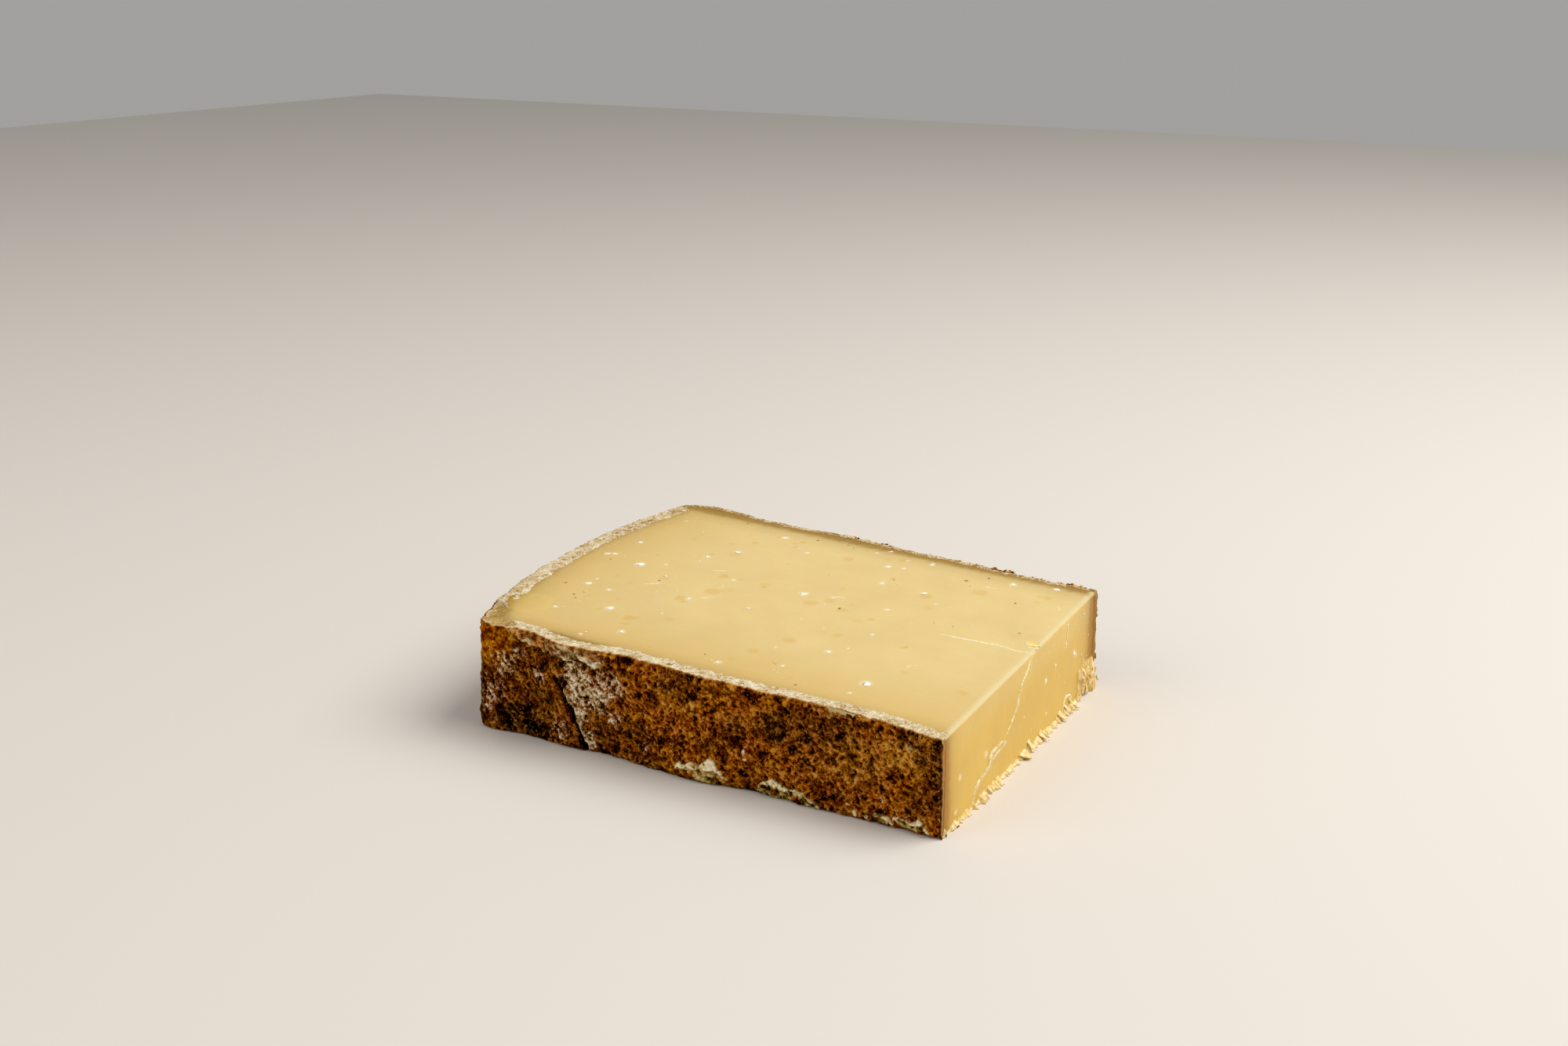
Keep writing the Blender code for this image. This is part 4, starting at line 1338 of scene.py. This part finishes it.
# %% Plates of cut crust at both ends of the cut
SECTION_DEPTH = {"front": 3.4 * MM, "back": 3.0 * MM}
SECTION_FOOT = {"front": 0.0, "back": 8.4 * MM}
SECTION_STEPS = (14, 70)
SECTION_THICKNESS = 0.3 * MM
SECTION_PROUD = 0.08 * MM
SECTION_SINK = 0.22 * MM
SECTION_TOP_SINK = 0.25 * MM
SECTION_RAGGED = 0.9 * MM
SECTION_CRUMBS = 0.12 * MM
SECTION_GRAIN = 0.9 * MM
LEAST_HEIGHT = 0.02 * MM

# Places of the tones from the outside in, where all values past 1 take the last tone
SECTION_PLACES = (0.24, 0.32, 0.44, 0.66, 0.92, 1.0, 1.0)
SECTION_LOW = ("301402", "7A4C1A", "A47E4C", "9A7036", "8C6420", "9A7024", "A87C30")
SECTION_HIGH = ("3A1A04", "88561C", "AC8048", "A8742A", "AA7012", "B4801C", "BA8C34")


def make_section():
    material, tree, shader = new_material("cut section of the crust, crumbly")
    place = add(tree, "TexCoord").outputs["Object"]
    point = point_values(tree, ("inward", "high"))
    grain = noise_value(tree, place, SECTION_GRAIN, 5.0, Roughness=0.65)
    uneven = add(tree, "Math", {"operation": "MULTIPLY_ADD", 1: 0.5}, {0: grain, 2: point["inward"]})
    low_tone = tone_ramp(tree, uneven.outputs[0], SECTION_PLACES, SECTION_LOW)
    high_tone = tone_ramp(tree, uneven.outputs[0], SECTION_PLACES, SECTION_HIGH)
    colour = colour_mix(tree, point["high"], low_tone, high_tone)
    bump = add(tree, "Bump", {"Strength": 0.7, "Distance": 0.12 * MM}, {"Height": grain})
    finish_shader(tree, shader, colour, bump, {"Roughness": 0.7, "Specular IOR Level": 0.1})
    return material


SECTION = make_section()


def model_section(side, name):
    """One plate: side is -1 at the front rind and 1 at the back rind."""
    width = SECTION_DEPTH[name]
    plate = flat_grid(name, width, TOP_HEIGHT, *SECTION_STEPS, (width / 2, TOP_HEIGHT / 2, 0.0))
    bpy.ops.mesh.select_all(action="SELECT")
    extrude_by((0.0, 0.0, SECTION_THICKNESS))
    close_up()
    plain = get_points(plate)
    inward = plain[:, 0] / width
    lowest = SECTION_FOOT[name] / TOP_HEIGHT
    share = lowest + (1 - lowest) * plain[:, 1] / TOP_HEIGHT
    end_y = np.full(len(plain), side * HALF_WHEEL)
    corner = np.column_stack([cut_x(end_y), end_y])
    shoulder = top_height(corner[:, 0], end_y) - RUBBED_DROP
    z = np.maximum(shoulder * share, LEAST_HEIGHT)
    out, _ = wall_relief(corner, z, share)
    spots = np.column_stack([inward * width, np.zeros(len(z)), z])
    ragged = SECTION_RAGGED * noise_at(spots, 2.4 * MM, 30.0 + side) * inward
    y = side * (HALF_WHEEL + out - inward * (width + out) - ragged)
    relief, _ = cut_relief(y, z)
    crumbs = SECTION_CRUMBS * noise_at(np.column_stack([y, z, z]), 0.8 * MM, 33.0) * (1 - inward)
    sink = SECTION_SINK * rise(inward, 0.55, 1.0) + SECTION_TOP_SINK * rise(share, 0.97, 1.0)
    x = cut_x(y) + relief + SECTION_PROUD + crumbs - sink + plain[:, 2] - SECTION_THICKNESS
    high = rise(share, 0.45, 0.75) if side < 0 else 0.0 * share
    set_attributes(plate, {"inward": inward, "high": high})
    move_points(plate, np.column_stack([x, y, z]))
    return plate


def join_lumps(name, lumps, material):
    """Joins small pieces into one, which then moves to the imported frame."""
    only(lumps[0])
    for lump in lumps:
        lump.select_set(True)
    bpy.ops.object.join()
    piece = bpy.context.active_object
    piece.name = name
    bpy.ops.object.transform_apply(location=True, rotation=True, scale=True)
    set_points(piece, get_points(piece))
    finish_piece(piece, material)
    return piece


join_lumps("crust_sections", [model_section(-1, "front"), model_section(1, "back")], SECTION)

# %% [markdown]
# ## Crystals and pin holes
#
# White grains of crystallised protein dot the cut faces, with whitened paste round each, and a
# few pin holes show dark: their shade is painted as flat dark lumps on the top. Each grain is a
# small uneven lump, half sunk in the paste. The largest sit where the photograph shows them, and
# a seeded scatter adds the fine ones.

# %% Lumps on the top and on the cut end
PIN_HOLES_ON_TOP = (
    (0.9, 0.5, 0.5), (1.8, -19.4, 0.7), (10, -26.5, 0.6), (8.2, -24.8, 0.5), (9.4, -22.3, 0.4),
    (11.3, -24.7, 0.3), (2.9, -36.6, 0.9), (3.3, -35.9, 0.6), (20, -5.3, 0.5), (44.2, 4.9, 0.5),
    (53, 21.8, 0.4), (37.5, 43, 0.6), (48.3, 43, 0.4), (46, 44, 0.4), (15, 44, 0.7), (66.7, 3.1, 0.6),
    (83.6, 37.3, 0.8), (87.6, 42.2, 0.8), (86.2, 34.3, 0.4), (100.5, 30, 0.6), (109.5, 12.7, 0.6),
    (81.5, -42.3, 0.6), (55.5, -38.7, 0.4), (68.3, 27.6, 0.5), (94.7, 7.7, 0.4), (71, -34.3, 0.4),
    (71.8, -34.7, 0.4), (27.6, 39.3, 0.4), (90, 7.3, 0.3), (70.5, 25, 0.4),
)
CRYSTAL_FLATNESS = 0.10
CRYSTAL_SINK = 0.02 * MM
CRYSTAL_SHARE = 0.72
PIN_HOLE_FLATNESS = 0.12

# Fine crystals: how many, the field in mm that they are strewn over, and their sizes
FINE_ON_TOP = (60, (-6, 113), (-43, 45), (0.3, 0.6))
FINE_ON_CUT = (16, (-46, 46), (2, 22), (0.3, 0.5))

# No fine crystals lie on the broken corner, left of and in front of this X and Y in mm
BROKEN_CORNER = (12, -36)

# The turn of the cut end about the upright, against the Y axis
CUT_TURN = math.atan2(2 * HALF_WHEEL, BACK_RIGHT_X - FRONT_RIGHT_X) - math.pi / 2


def model_lump(size, flatness, seed):
    """An uneven grain of 80 faces round the origin."""
    deselect_all()
    bpy.ops.mesh.primitive_ico_sphere_add(subdivisions=2, radius=size / 2)
    lump = bpy.context.active_object
    points = get_points(lump)
    swell = 1.0 + 0.9 * noise_at(points, 0.45 * size, seed)
    points *= swell[:, None]
    points[:, 0] *= 1.0 + 0.35 * math.sin(seed)
    points[:, 2] *= flatness
    move_points(lump, points)
    return lump


def on_top(x, y, sink):
    return (x, y, top_height(x, y) - sink)


def on_cut(y, z, sink):
    out, _ = cut_relief(np.array([y]), np.array([z]))
    return (cut_x(y) + out[0] - sink, y, z)


def lay_lumps(name, material, top_marks, cut_marks, flatness, sink, seed):
    draw = random.Random(seed)
    lumps = []
    for x, y, size in top_marks:
        lump = model_lump(size * MM, flatness, draw.uniform(0, 90))
        lump.location = on_top(x * MM, y * MM, sink)
        lump.rotation_euler = (0.0, 0.0, draw.uniform(0, math.tau))
        lumps.append(lump)
    for y, z, size in cut_marks:
        lump = model_lump(size * MM, flatness, draw.uniform(0, 90))
        lump.location = on_cut(y * MM, z * MM, sink)
        lump.rotation_euler = (0.0, math.pi / 2, CUT_TURN)
        lumps.append(lump)
    return join_lumps(name, lumps, material)


def scatter(draw, count, across, along, sizes):
    """Marks drawn evenly over a field: two places and a size each."""
    return [(draw.uniform(*across), draw.uniform(*along), draw.uniform(*sizes)) for _ in range(count)]


draw = random.Random(7)
fine_top = scatter(draw, *FINE_ON_TOP)
fine_top = [mark for mark in fine_top if mark[0] > BROKEN_CORNER[0] or mark[1] > BROKEN_CORNER[1]]
fine_cut = scatter(draw, *FINE_ON_CUT)
top_marks = [(x, y, CRYSTAL_SHARE * size) for x, y, size in CRYSTALS_ON_TOP]
cut_marks = [(y, z, CRYSTAL_SHARE * size) for y, z, size in CRYSTALS_ON_CUT]
lay_lumps("crystals", CRYSTAL, top_marks + fine_top, cut_marks + fine_cut, CRYSTAL_FLATNESS,
          CRYSTAL_SINK, 3)
lay_lumps("pin_hole_shade", PIN_HOLE_SHADE, PIN_HOLES_ON_TOP, [], PIN_HOLE_FLATNESS, 0.0, 5)

# %% [markdown]
# ## Cracks and scratches
#
# A crack in a pressed paste shows as a fine line with two pale lips, because the paste crumbles
# a little on both sides. Each is a thin straight bar with five points across, which is then laid
# along its line: the outer points lie under the paste, the next two are the lips, and the
# middle one is the gap between them.

# %% Ribbons that lie on the top or on the cut end
RIBBON_STEP = 0.35 * MM
RIBBON_DEPTH = 0.3 * MM
ROUNDING = 0.05
ROUNDING_PLACES = 7
LOOK_AHEAD = 0.04
WANDER = 0.35 * MM
FINE_WANDER = 0.15 * MM

# Height of a ribbon from its middle outwards: the gap, the lip, and the edge under the paste
LIP_PROFILE = ((0.0, 0.5, 1.0), (-0.2, 1.0, -0.3))

# Each line has its corners, then its width and height, all in mm
TOP_LINES = (
    (((94, 1.5), (99.5, 2.2), (105, 2.8), (110, 3.1), (113.3, 2.3), (117, 2.9)), 0.8, 0.12),
    (((96, -20.3), (98, -18.5), (100.4, -17.4)), 0.5, 0.06),
    (((112.9, 8.1), (114.0, 7.5), (115.6, 7.6), (117, 8.2)), 0.45, 0.10),
    (((114.6, 5.9), (116, 5.6), (117.3, 6.2)), 0.35, 0.08),
    (((19, -8.5), (21.5, -6.5)), 0.45, 0.05),
    (((18, -9.5), (20.2, -7.8)), 0.4, 0.05),
    (((35, -10), (38, -7.6)), 0.5, 0.06),
    (((27, 8), (30.5, 10)), 0.5, 0.05),
    (((60, 8.5), (64.5, 10)), 0.5, 0.05),
    (((89, 36), (92.5, 36.4)), 0.5, 0.06),
)
CUT_LINES = (
    (SLAB_LINE[:9] + ((-11.0, 10.3), (-13.5, 9.4)), 0.6, 0.12),
    (((-12.0, 7.9), (-14.5, 8.8), (-17.0, 8.9), (-20.5, 8.6), (-22.3, 8.7), (-22.2, 6.5), (-24.0, 5.6),
      (-27.0, 5.1), (-29.8, 4.8), (-31.3, 3.5), (-32.2, 1.6), (-32.6, 0.4)), 1.1, 0.28),
    (((-12.0, 7.9), (-15.0, 7.6), (-19.0, 7.4), (-22.2, 6.5)), 0.8, 0.20),
    (((26.8, 0.9), (27.0, 3.0), (28.5, 4.0), (31.0, 4.0), (32.6, 3.2), (32.8, 1.6)), 0.8, 0.16),
    (((41.0, 9.8), (41.4, 8.6)), 0.5, 0.12),
    (((28.2, 24.0), (27.8, 21.5), (27.9, 19.0)), 0.5, 0.06),
)


def model_bar(name, length, width, height):
    """A straight closed bar along Y with five points across."""
    steps = max(4, round(length / RIBBON_STEP))
    bar = flat_grid(name, width, length, 4, steps, (0.0, length / 2, 0.0))
    bpy.ops.mesh.select_all(action="SELECT")
    extrude_by((0.0, 0.0, height))
    close_up()
    return bar


def along_line(line, share):
    """Places along a bent line and the direction across it, with the corners rounded."""
    corners = np.array(line) * MM
    gone = np.concatenate([[0.0], np.cumsum(np.linalg.norm(np.diff(corners, axis=0), axis=1))])

    def place_at(shift):
        at = np.clip(share + shift, 0.0, 1.0) * gone[-1]
        return np.stack([np.interp(at, gone, corners[:, axis]) for axis in range(2)], axis=1)

    shifts = np.linspace(-ROUNDING, ROUNDING, ROUNDING_PLACES)
    places = sum(place_at(shift) for shift in shifts) / ROUNDING_PLACES
    ahead = unit(place_at(LOOK_AHEAD) - place_at(-LOOK_AHEAD) + 1e-9)
    return places, np.column_stack([-ahead[:, 1], ahead[:, 0]])


def lay_ribbon(line, width, height, on_the_cut):
    corners = np.array(line) * MM
    length = np.linalg.norm(np.diff(corners, axis=0), axis=1).sum()
    bar = model_bar("crack", length, width * MM, RIBBON_DEPTH)
    plain = get_points(bar)
    share = plain[:, 1] / length
    across = 2 * plain[:, 0] / (width * MM)
    places, sideways = along_line(line, share)
    spots = np.column_stack([places, np.full(len(places), 0.3)])
    wander = WANDER * noise_at(spots, 3.0 * MM, 41.0) + FINE_WANDER * noise_at(spots, 0.9 * MM, 42.0)
    taper = np.sin(math.pi * np.clip(share, 0.02, 0.98)) ** 0.35
    swell = np.clip(0.75 + 0.9 * noise_at(spots, 1.6 * MM, 43.0), 0.15, 1.4)
    offset = wander + plain[:, 0] * taper * (0.7 + 0.3 * swell)
    flat = places + sideways * offset[:, None]
    lips = np.interp(np.abs(across), *LIP_PROFILE)
    upper = plain[:, 2] > RIBBON_DEPTH / 2
    lift = np.where(upper, lips * height * MM * taper * swell, -RIBBON_DEPTH)
    if on_the_cut:
        relief, _ = cut_relief(flat[:, 0], flat[:, 1])
        x = cut_x(flat[:, 0]) + lift + relief
        move_points(bar, np.column_stack([x, flat[:, 0], np.maximum(flat[:, 1], LEAST_HEIGHT)]))
    else:
        move_points(bar, np.column_stack([flat, top_height(flat[:, 0], flat[:, 1]) + lift]))
    return bar


ribbons = [lay_ribbon(*line, on_the_cut=False) for line in TOP_LINES]
ribbons += [lay_ribbon(*line, on_the_cut=True) for line in CUT_LINES]
join_lumps("crack_lips", ribbons, CRACK)

# %% [markdown]
# ## The torn foot
#
# Where the wire left the paste at the foot of the cut, it tore a thin ragged lip that leans out
# over the board. The lip is one long flat grid, given a thickness. Its root follows the cut, and
# its tip reaches out by sharp uneven teeth. Where the photograph shows larger flaps, the lip
# reaches further, and a separate small sheet leans on it. In the back corner the paste broke
# away and left crumbs.

# %% Flaps along the foot: Y, width, reach and height of the root in mm
TONGUES = (
    (-25.6, 1.8, 1.6, 2.4), (-22.8, 1.8, 1.3, 2.2), (-12.8, 2.4, 1.4, 1.3), (-8.4, 2.2, 1.1, 1.5),
    (-1.4, 4.4, 2.6, 1.5), (2.8, 1.8, 2.0, 3.0), (5.8, 1.5, 1.1, 2.2), (10.6, 2.2, 2.2, 2.2),
    (13.6, 1.7, 1.3, 1.6), (24.0, 2.2, 2.3, 2.2), (20.4, 2.2, 1.0, 1.3), (28.4, 2.2, 1.6, 2.6),
    (31.8, 2.4, 2.1, 3.0), (35.4, 2.0, 1.1, 1.6), (-31.2, 2.4, 0.9, 1.1), (-39.5, 2.6, 0.5, 0.8),
)
LEANING_FLAPS = (0, 1, 4, 5, 7, 9, 11, 12)
TORN_LIP_SPAN = (-49.0 * MM, 38.0 * MM)
TORN_LIP_STEPS = (520, 6)
TORN_LIP_REACH = 2.0 * MM
TORN_LIP_ROOT = 0.75
TORN_LIP_LEAST = 0.25 * MM
TOOTH_WIDTH = 1.5 * MM
FINE_TOOTH_WIDTH = 0.6 * MM
TOOTH_SHARPNESS = 2.4
STRETCH_LENGTH = 5.0 * MM
TONGUE_STEPS = (6, 5)
TONGUE_THICKNESS = 0.10 * MM


def row_noise(values, wave, seed):
    return np.array([noise.noise(Vector((value / wave, seed, 0.5))) for value in values])


def sheet(name, width, reach, steps):
    """A thin closed sheet, as wide as width along X, that runs from its root along Y."""
    piece = flat_grid(name, width, reach, *steps, (0.0, reach / 2, 0.0))
    bpy.ops.mesh.select_all(action="SELECT")
    extrude_by((0.0, 0.0, TONGUE_THICKNESS))
    close_up()
    return piece


def tooth_row(y, width, seed):
    """Sharp teeth along a row: 1 at a tip, 0 between teeth."""
    return np.clip(1.0 - TOOTH_SHARPNESS * np.abs(row_noise(y, width, seed)), 0.0, 1.0)


def model_torn_lip():
    """The long ragged lip: sharp small teeth, larger or smaller from stretch to stretch."""
    length = TORN_LIP_SPAN[1] - TORN_LIP_SPAN[0]
    lip = sheet("lip", length, TORN_LIP_REACH, TORN_LIP_STEPS)
    plain = get_points(lip)
    y = plain[:, 0] + sum(TORN_LIP_SPAN) / 2
    along = np.clip(plain[:, 1] / TORN_LIP_REACH, 0.0, 1.0)
    teeth = 0.82 * tooth_row(y, TOOTH_WIDTH, 3.0) + 0.18 * tooth_row(y, FINE_TOOTH_WIDTH, 9.0)
    stretch = 0.35 + 1.5 * np.abs(row_noise(y, STRETCH_LENGTH, 5.0))
    reach = TORN_LIP_REACH * teeth * stretch + TORN_LIP_LEAST
    root = TORN_LIP_ROOT * reach + TORN_LIP_LEAST
    for middle, width, flap_reach, flap_root in TONGUES:
        flap = np.clip(1.25 - np.abs(y - middle * MM) / (0.5 * width * MM), 0.0, 1.0)
        reach = np.maximum(reach, flap * (0.35 + 0.65 * teeth) * flap_reach * MM)
        root = np.maximum(root, flap * 0.7 * flap_root * MM)
    x = cut_x(y) - 0.05 * MM + reach * along**1.3 + 0.5 * plain[:, 2]
    z = 0.03 * MM + root * (1 - along) ** 0.8 + plain[:, 2]
    spots = np.column_stack([x, y, z])
    x = x + 0.08 * MM * along * noise_at(spots, 0.8 * MM, 7.0)
    move_points(lip, np.column_stack([x, y, z]))
    return lip


def model_tongue(middle, width, reach, root, seed):
    """A small sheet that leaves the cut at its root and comes down on the board, askew."""
    tongue = sheet("tongue", width, reach, TONGUE_STEPS)
    plain = get_points(tongue)
    along = np.clip(plain[:, 1] / reach, 0.0, 1.0)
    across = 2 * plain[:, 0] / width
    skew = 0.7 * math.sin(7 * seed)
    length = reach * np.clip(1.0 + skew * across, 0.2, 1.3)
    y = middle + plain[:, 0] * (1.0 - 0.6 * along) + 0.3 * skew * reach * along
    x = cut_x(y) - 0.15 * MM + length * along**1.3 + 0.4 * plain[:, 2]
    height = root * np.clip(1.0 - 0.5 * skew * across - 0.15 * np.abs(across), 0.3, 1.3)
    z = 0.04 * MM + height * (1 - along) ** 0.9 + 0.18 * reach * along**3 + plain[:, 2]
    spots = np.column_stack([x, y, z])
    x = x + 0.16 * MM * noise_at(spots, 0.9 * MM, seed)
    z = z + 0.10 * MM * along * (1 + noise_at(spots, 0.7 * MM, seed))
    move_points(tongue, np.column_stack([x, y, z]))
    return tongue


draw = random.Random(19)
tongues = [model_torn_lip()]
for number in LEANING_FLAPS:
    y, width, reach, root = (size * MM for size in TONGUES[number])
    tongues.append(model_tongue(y, width, reach, root, draw.uniform(0, 50)))
join_lumps("torn_foot", tongues, TORN)

# %% Crumbs in the back corner
SHARDS = 48
SHARD_FIELD = (37.5 * MM, 50.4 * MM)
SHARD_HEIGHTS = (0.4, 7.6)
SHARD_TALLNESS = (0.6, 1.6)
SHARD_HALF_WIDTHS = (0.22, 0.5)


def model_shard(y, z, tall, half_width, seed):
    """A flattened crumb of torn paste, leaning on the broken corner."""
    shard = model_lump(2 * half_width, 1.0, seed)
    points = get_points(shard)
    points[:, 0] *= 0.6
    points[:, 2] *= tall / (2 * half_width)
    points[:, 1] += points[:, 2] * 0.7 * math.sin(5 * seed)
    points += on_cut(y, z, 0.0)
    points[:, 2] = np.maximum(points[:, 2], 0.03 * MM)
    move_points(shard, points)
    return shard


shards = []
for _ in range(SHARDS):
    y = draw.uniform(*SHARD_FIELD)
    z = draw.uniform(*SHARD_HEIGHTS) * MM
    tall = draw.uniform(*SHARD_TALLNESS) * MM
    half_width = draw.uniform(*SHARD_HALF_WIDTHS) * MM
    shards.append(model_shard(y, z, tall, half_width, draw.uniform(0, 50)))
join_lumps("corner_shards", shards, TORN)

# %% [markdown]
# ## Granules on the back rim
#
# Behind the band a few brown granules of crust stand up from the rim. They are uneven
# lumps in the finish of the rind, in small clusters where the photograph shows them.

# %% Granules: clusters as X and Y in mm and size as a share
CLUSTERS = ((53, 51.0, 1.0), (79, 50.0, 0.8), (86.5, 50.6, 1.5), (90, 50.6, 1.1), (44, 50.6, 0.6),
            (98.5, 50.2, 0.7), (107, 50.2, 1.0), (110.5, 50.0, 1.1), (21, 51.6, 0.6), (69, 50.4, 0.6))
GRANULES_PER_CLUSTER = 7
CLUSTER_SPREAD = 1.5
LAST_GRANULE_X = 112.0

# Bumps on the back right corner: Z and size in mm
CORNER_BUMPS = ((21.5, 0.7), (18.5, 1.0), (15.8, 0.6), (12.0, 0.6), (9.5, 0.8))
CORNER_BUMP_PLACE = (BACK_RIGHT_X - 0.5 * MM, 49.6 * MM)

granules = []
for x, y, size in CLUSTERS:
    for _ in range(GRANULES_PER_CLUSTER):
        lump = model_lump(draw.uniform(0.5, 1.1) * size * MM, 0.8, draw.uniform(0, 50))
        spot_x = min(x + draw.gauss(0, CLUSTER_SPREAD), LAST_GRANULE_X) * MM
        rim_y = HALF_WHEEL + swells(np.array([spot_x]), 1.0, BACK_SWELLS)[0]
        spot_y = rim_y + draw.uniform(-0.8, 0.1) * MM
        lump.location = on_top(spot_x, spot_y, -draw.uniform(-0.35, 0.05) * MM)
        granules.append(lump)
for z, size in CORNER_BUMPS:
    lump = model_lump(size * 1.3 * MM, 1.0, draw.uniform(0, 50))
    lump.location = (*CORNER_BUMP_PLACE, z * MM)
    granules.append(lump)
rim_granules = join_lumps("rim_granules", granules, RIND)
spots = get_points(rim_granules)
set_attributes(rim_granules, {
    "relief": np.clip(0.5 + 0.8 * noise_at(spots, 0.5 * MM, 3.0), 0.0, 1.0),
    "light": 0.8 * rise(noise_at(spots, 1.5 * MM, 9.0), -0.3, 0.1),
    "cream": 0.7 * rise(noise_at(spots, 0.9 * MM, 15.0), 0.0, 0.3),
})

# %% [markdown]
# ## Floor, light and camera
#
# The cheese stands on a plain pale surface. One large soft light high on the camera's right
# leaves the front rind in shade, as in the photograph, and a weak even light fills that shade.
# The camera's place and lens were worked out from the photograph's perspective.

# %% Floor
FLOOR_SIZE = 3.0


def make_floor():
    deselect_all()
    bpy.ops.mesh.primitive_plane_add(size=FLOOR_SIZE, location=(0.0, 0.0, 0.0))
    floor = bpy.context.active_object
    floor.name = "floor"
    material, _, shader = new_material("matt pale board")
    shader.inputs["Base Color"].default_value = linear("DCD6CE")
    shader.inputs["Roughness"].default_value = 0.8
    floor.data.materials.append(material)
    return floor


make_floor()

# %% Lights
KEY_POWER = 13.6
KEY_SIZE = 0.9
KEY_PLACE = Vector((0.62, 0.34, 0.92))
SIDE_POWER = 4.2
SIDE_PLACE = Vector((-0.55, -0.95, 0.75))
FILL_STRENGTH = 0.36


def add_light(name, place, target, size, power, colour):
    deselect_all()
    bpy.ops.object.light_add(type="AREA", location=place)
    light = bpy.context.active_object
    light.name = name
    light.data.shape = "SQUARE"
    light.data.size = size
    light.data.energy = power
    light.data.color = colour
    light.rotation_euler = (Vector(target) - Vector(place)).to_track_quat("-Z", "Y").to_euler()
    return light


add_light("key light", KEY_PLACE, (0.0, 0.0, 0.0), KEY_SIZE, KEY_POWER, (1.0, 0.98, 0.95))
add_light("side light", SIDE_PLACE, (0.0, 0.0, 0.0), KEY_SIZE, SIDE_POWER, (1.0, 0.97, 0.93))
world = bpy.data.worlds.new("soft studio")
world.use_nodes = True
world.node_tree.nodes["Background"].inputs["Color"].default_value = (1.0, 0.98, 0.95, 1.0)
world.node_tree.nodes["Background"].inputs["Strength"].default_value = FILL_STRENGTH
bpy.context.scene.world = world
bpy.context.scene.view_settings.view_transform = "Standard"

# %% Camera
CAMERA_PLACE = (231.6 * MM, -385.1 * MM, 178.5 * MM)
CAMERA_TILT = 90 - 16.42
CAMERA_TURN = 31.16
LENS = 45.0

deselect_all()
bpy.ops.object.camera_add(
    location=CAMERA_PLACE, rotation=(math.radians(CAMERA_TILT), 0.0, math.radians(CAMERA_TURN))
)
camera = bpy.context.active_object
camera.data.lens = LENS
camera.data.sensor_width = 36.0
bpy.context.scene.camera = camera


print("pieces:", [piece.name for piece in PIECES])
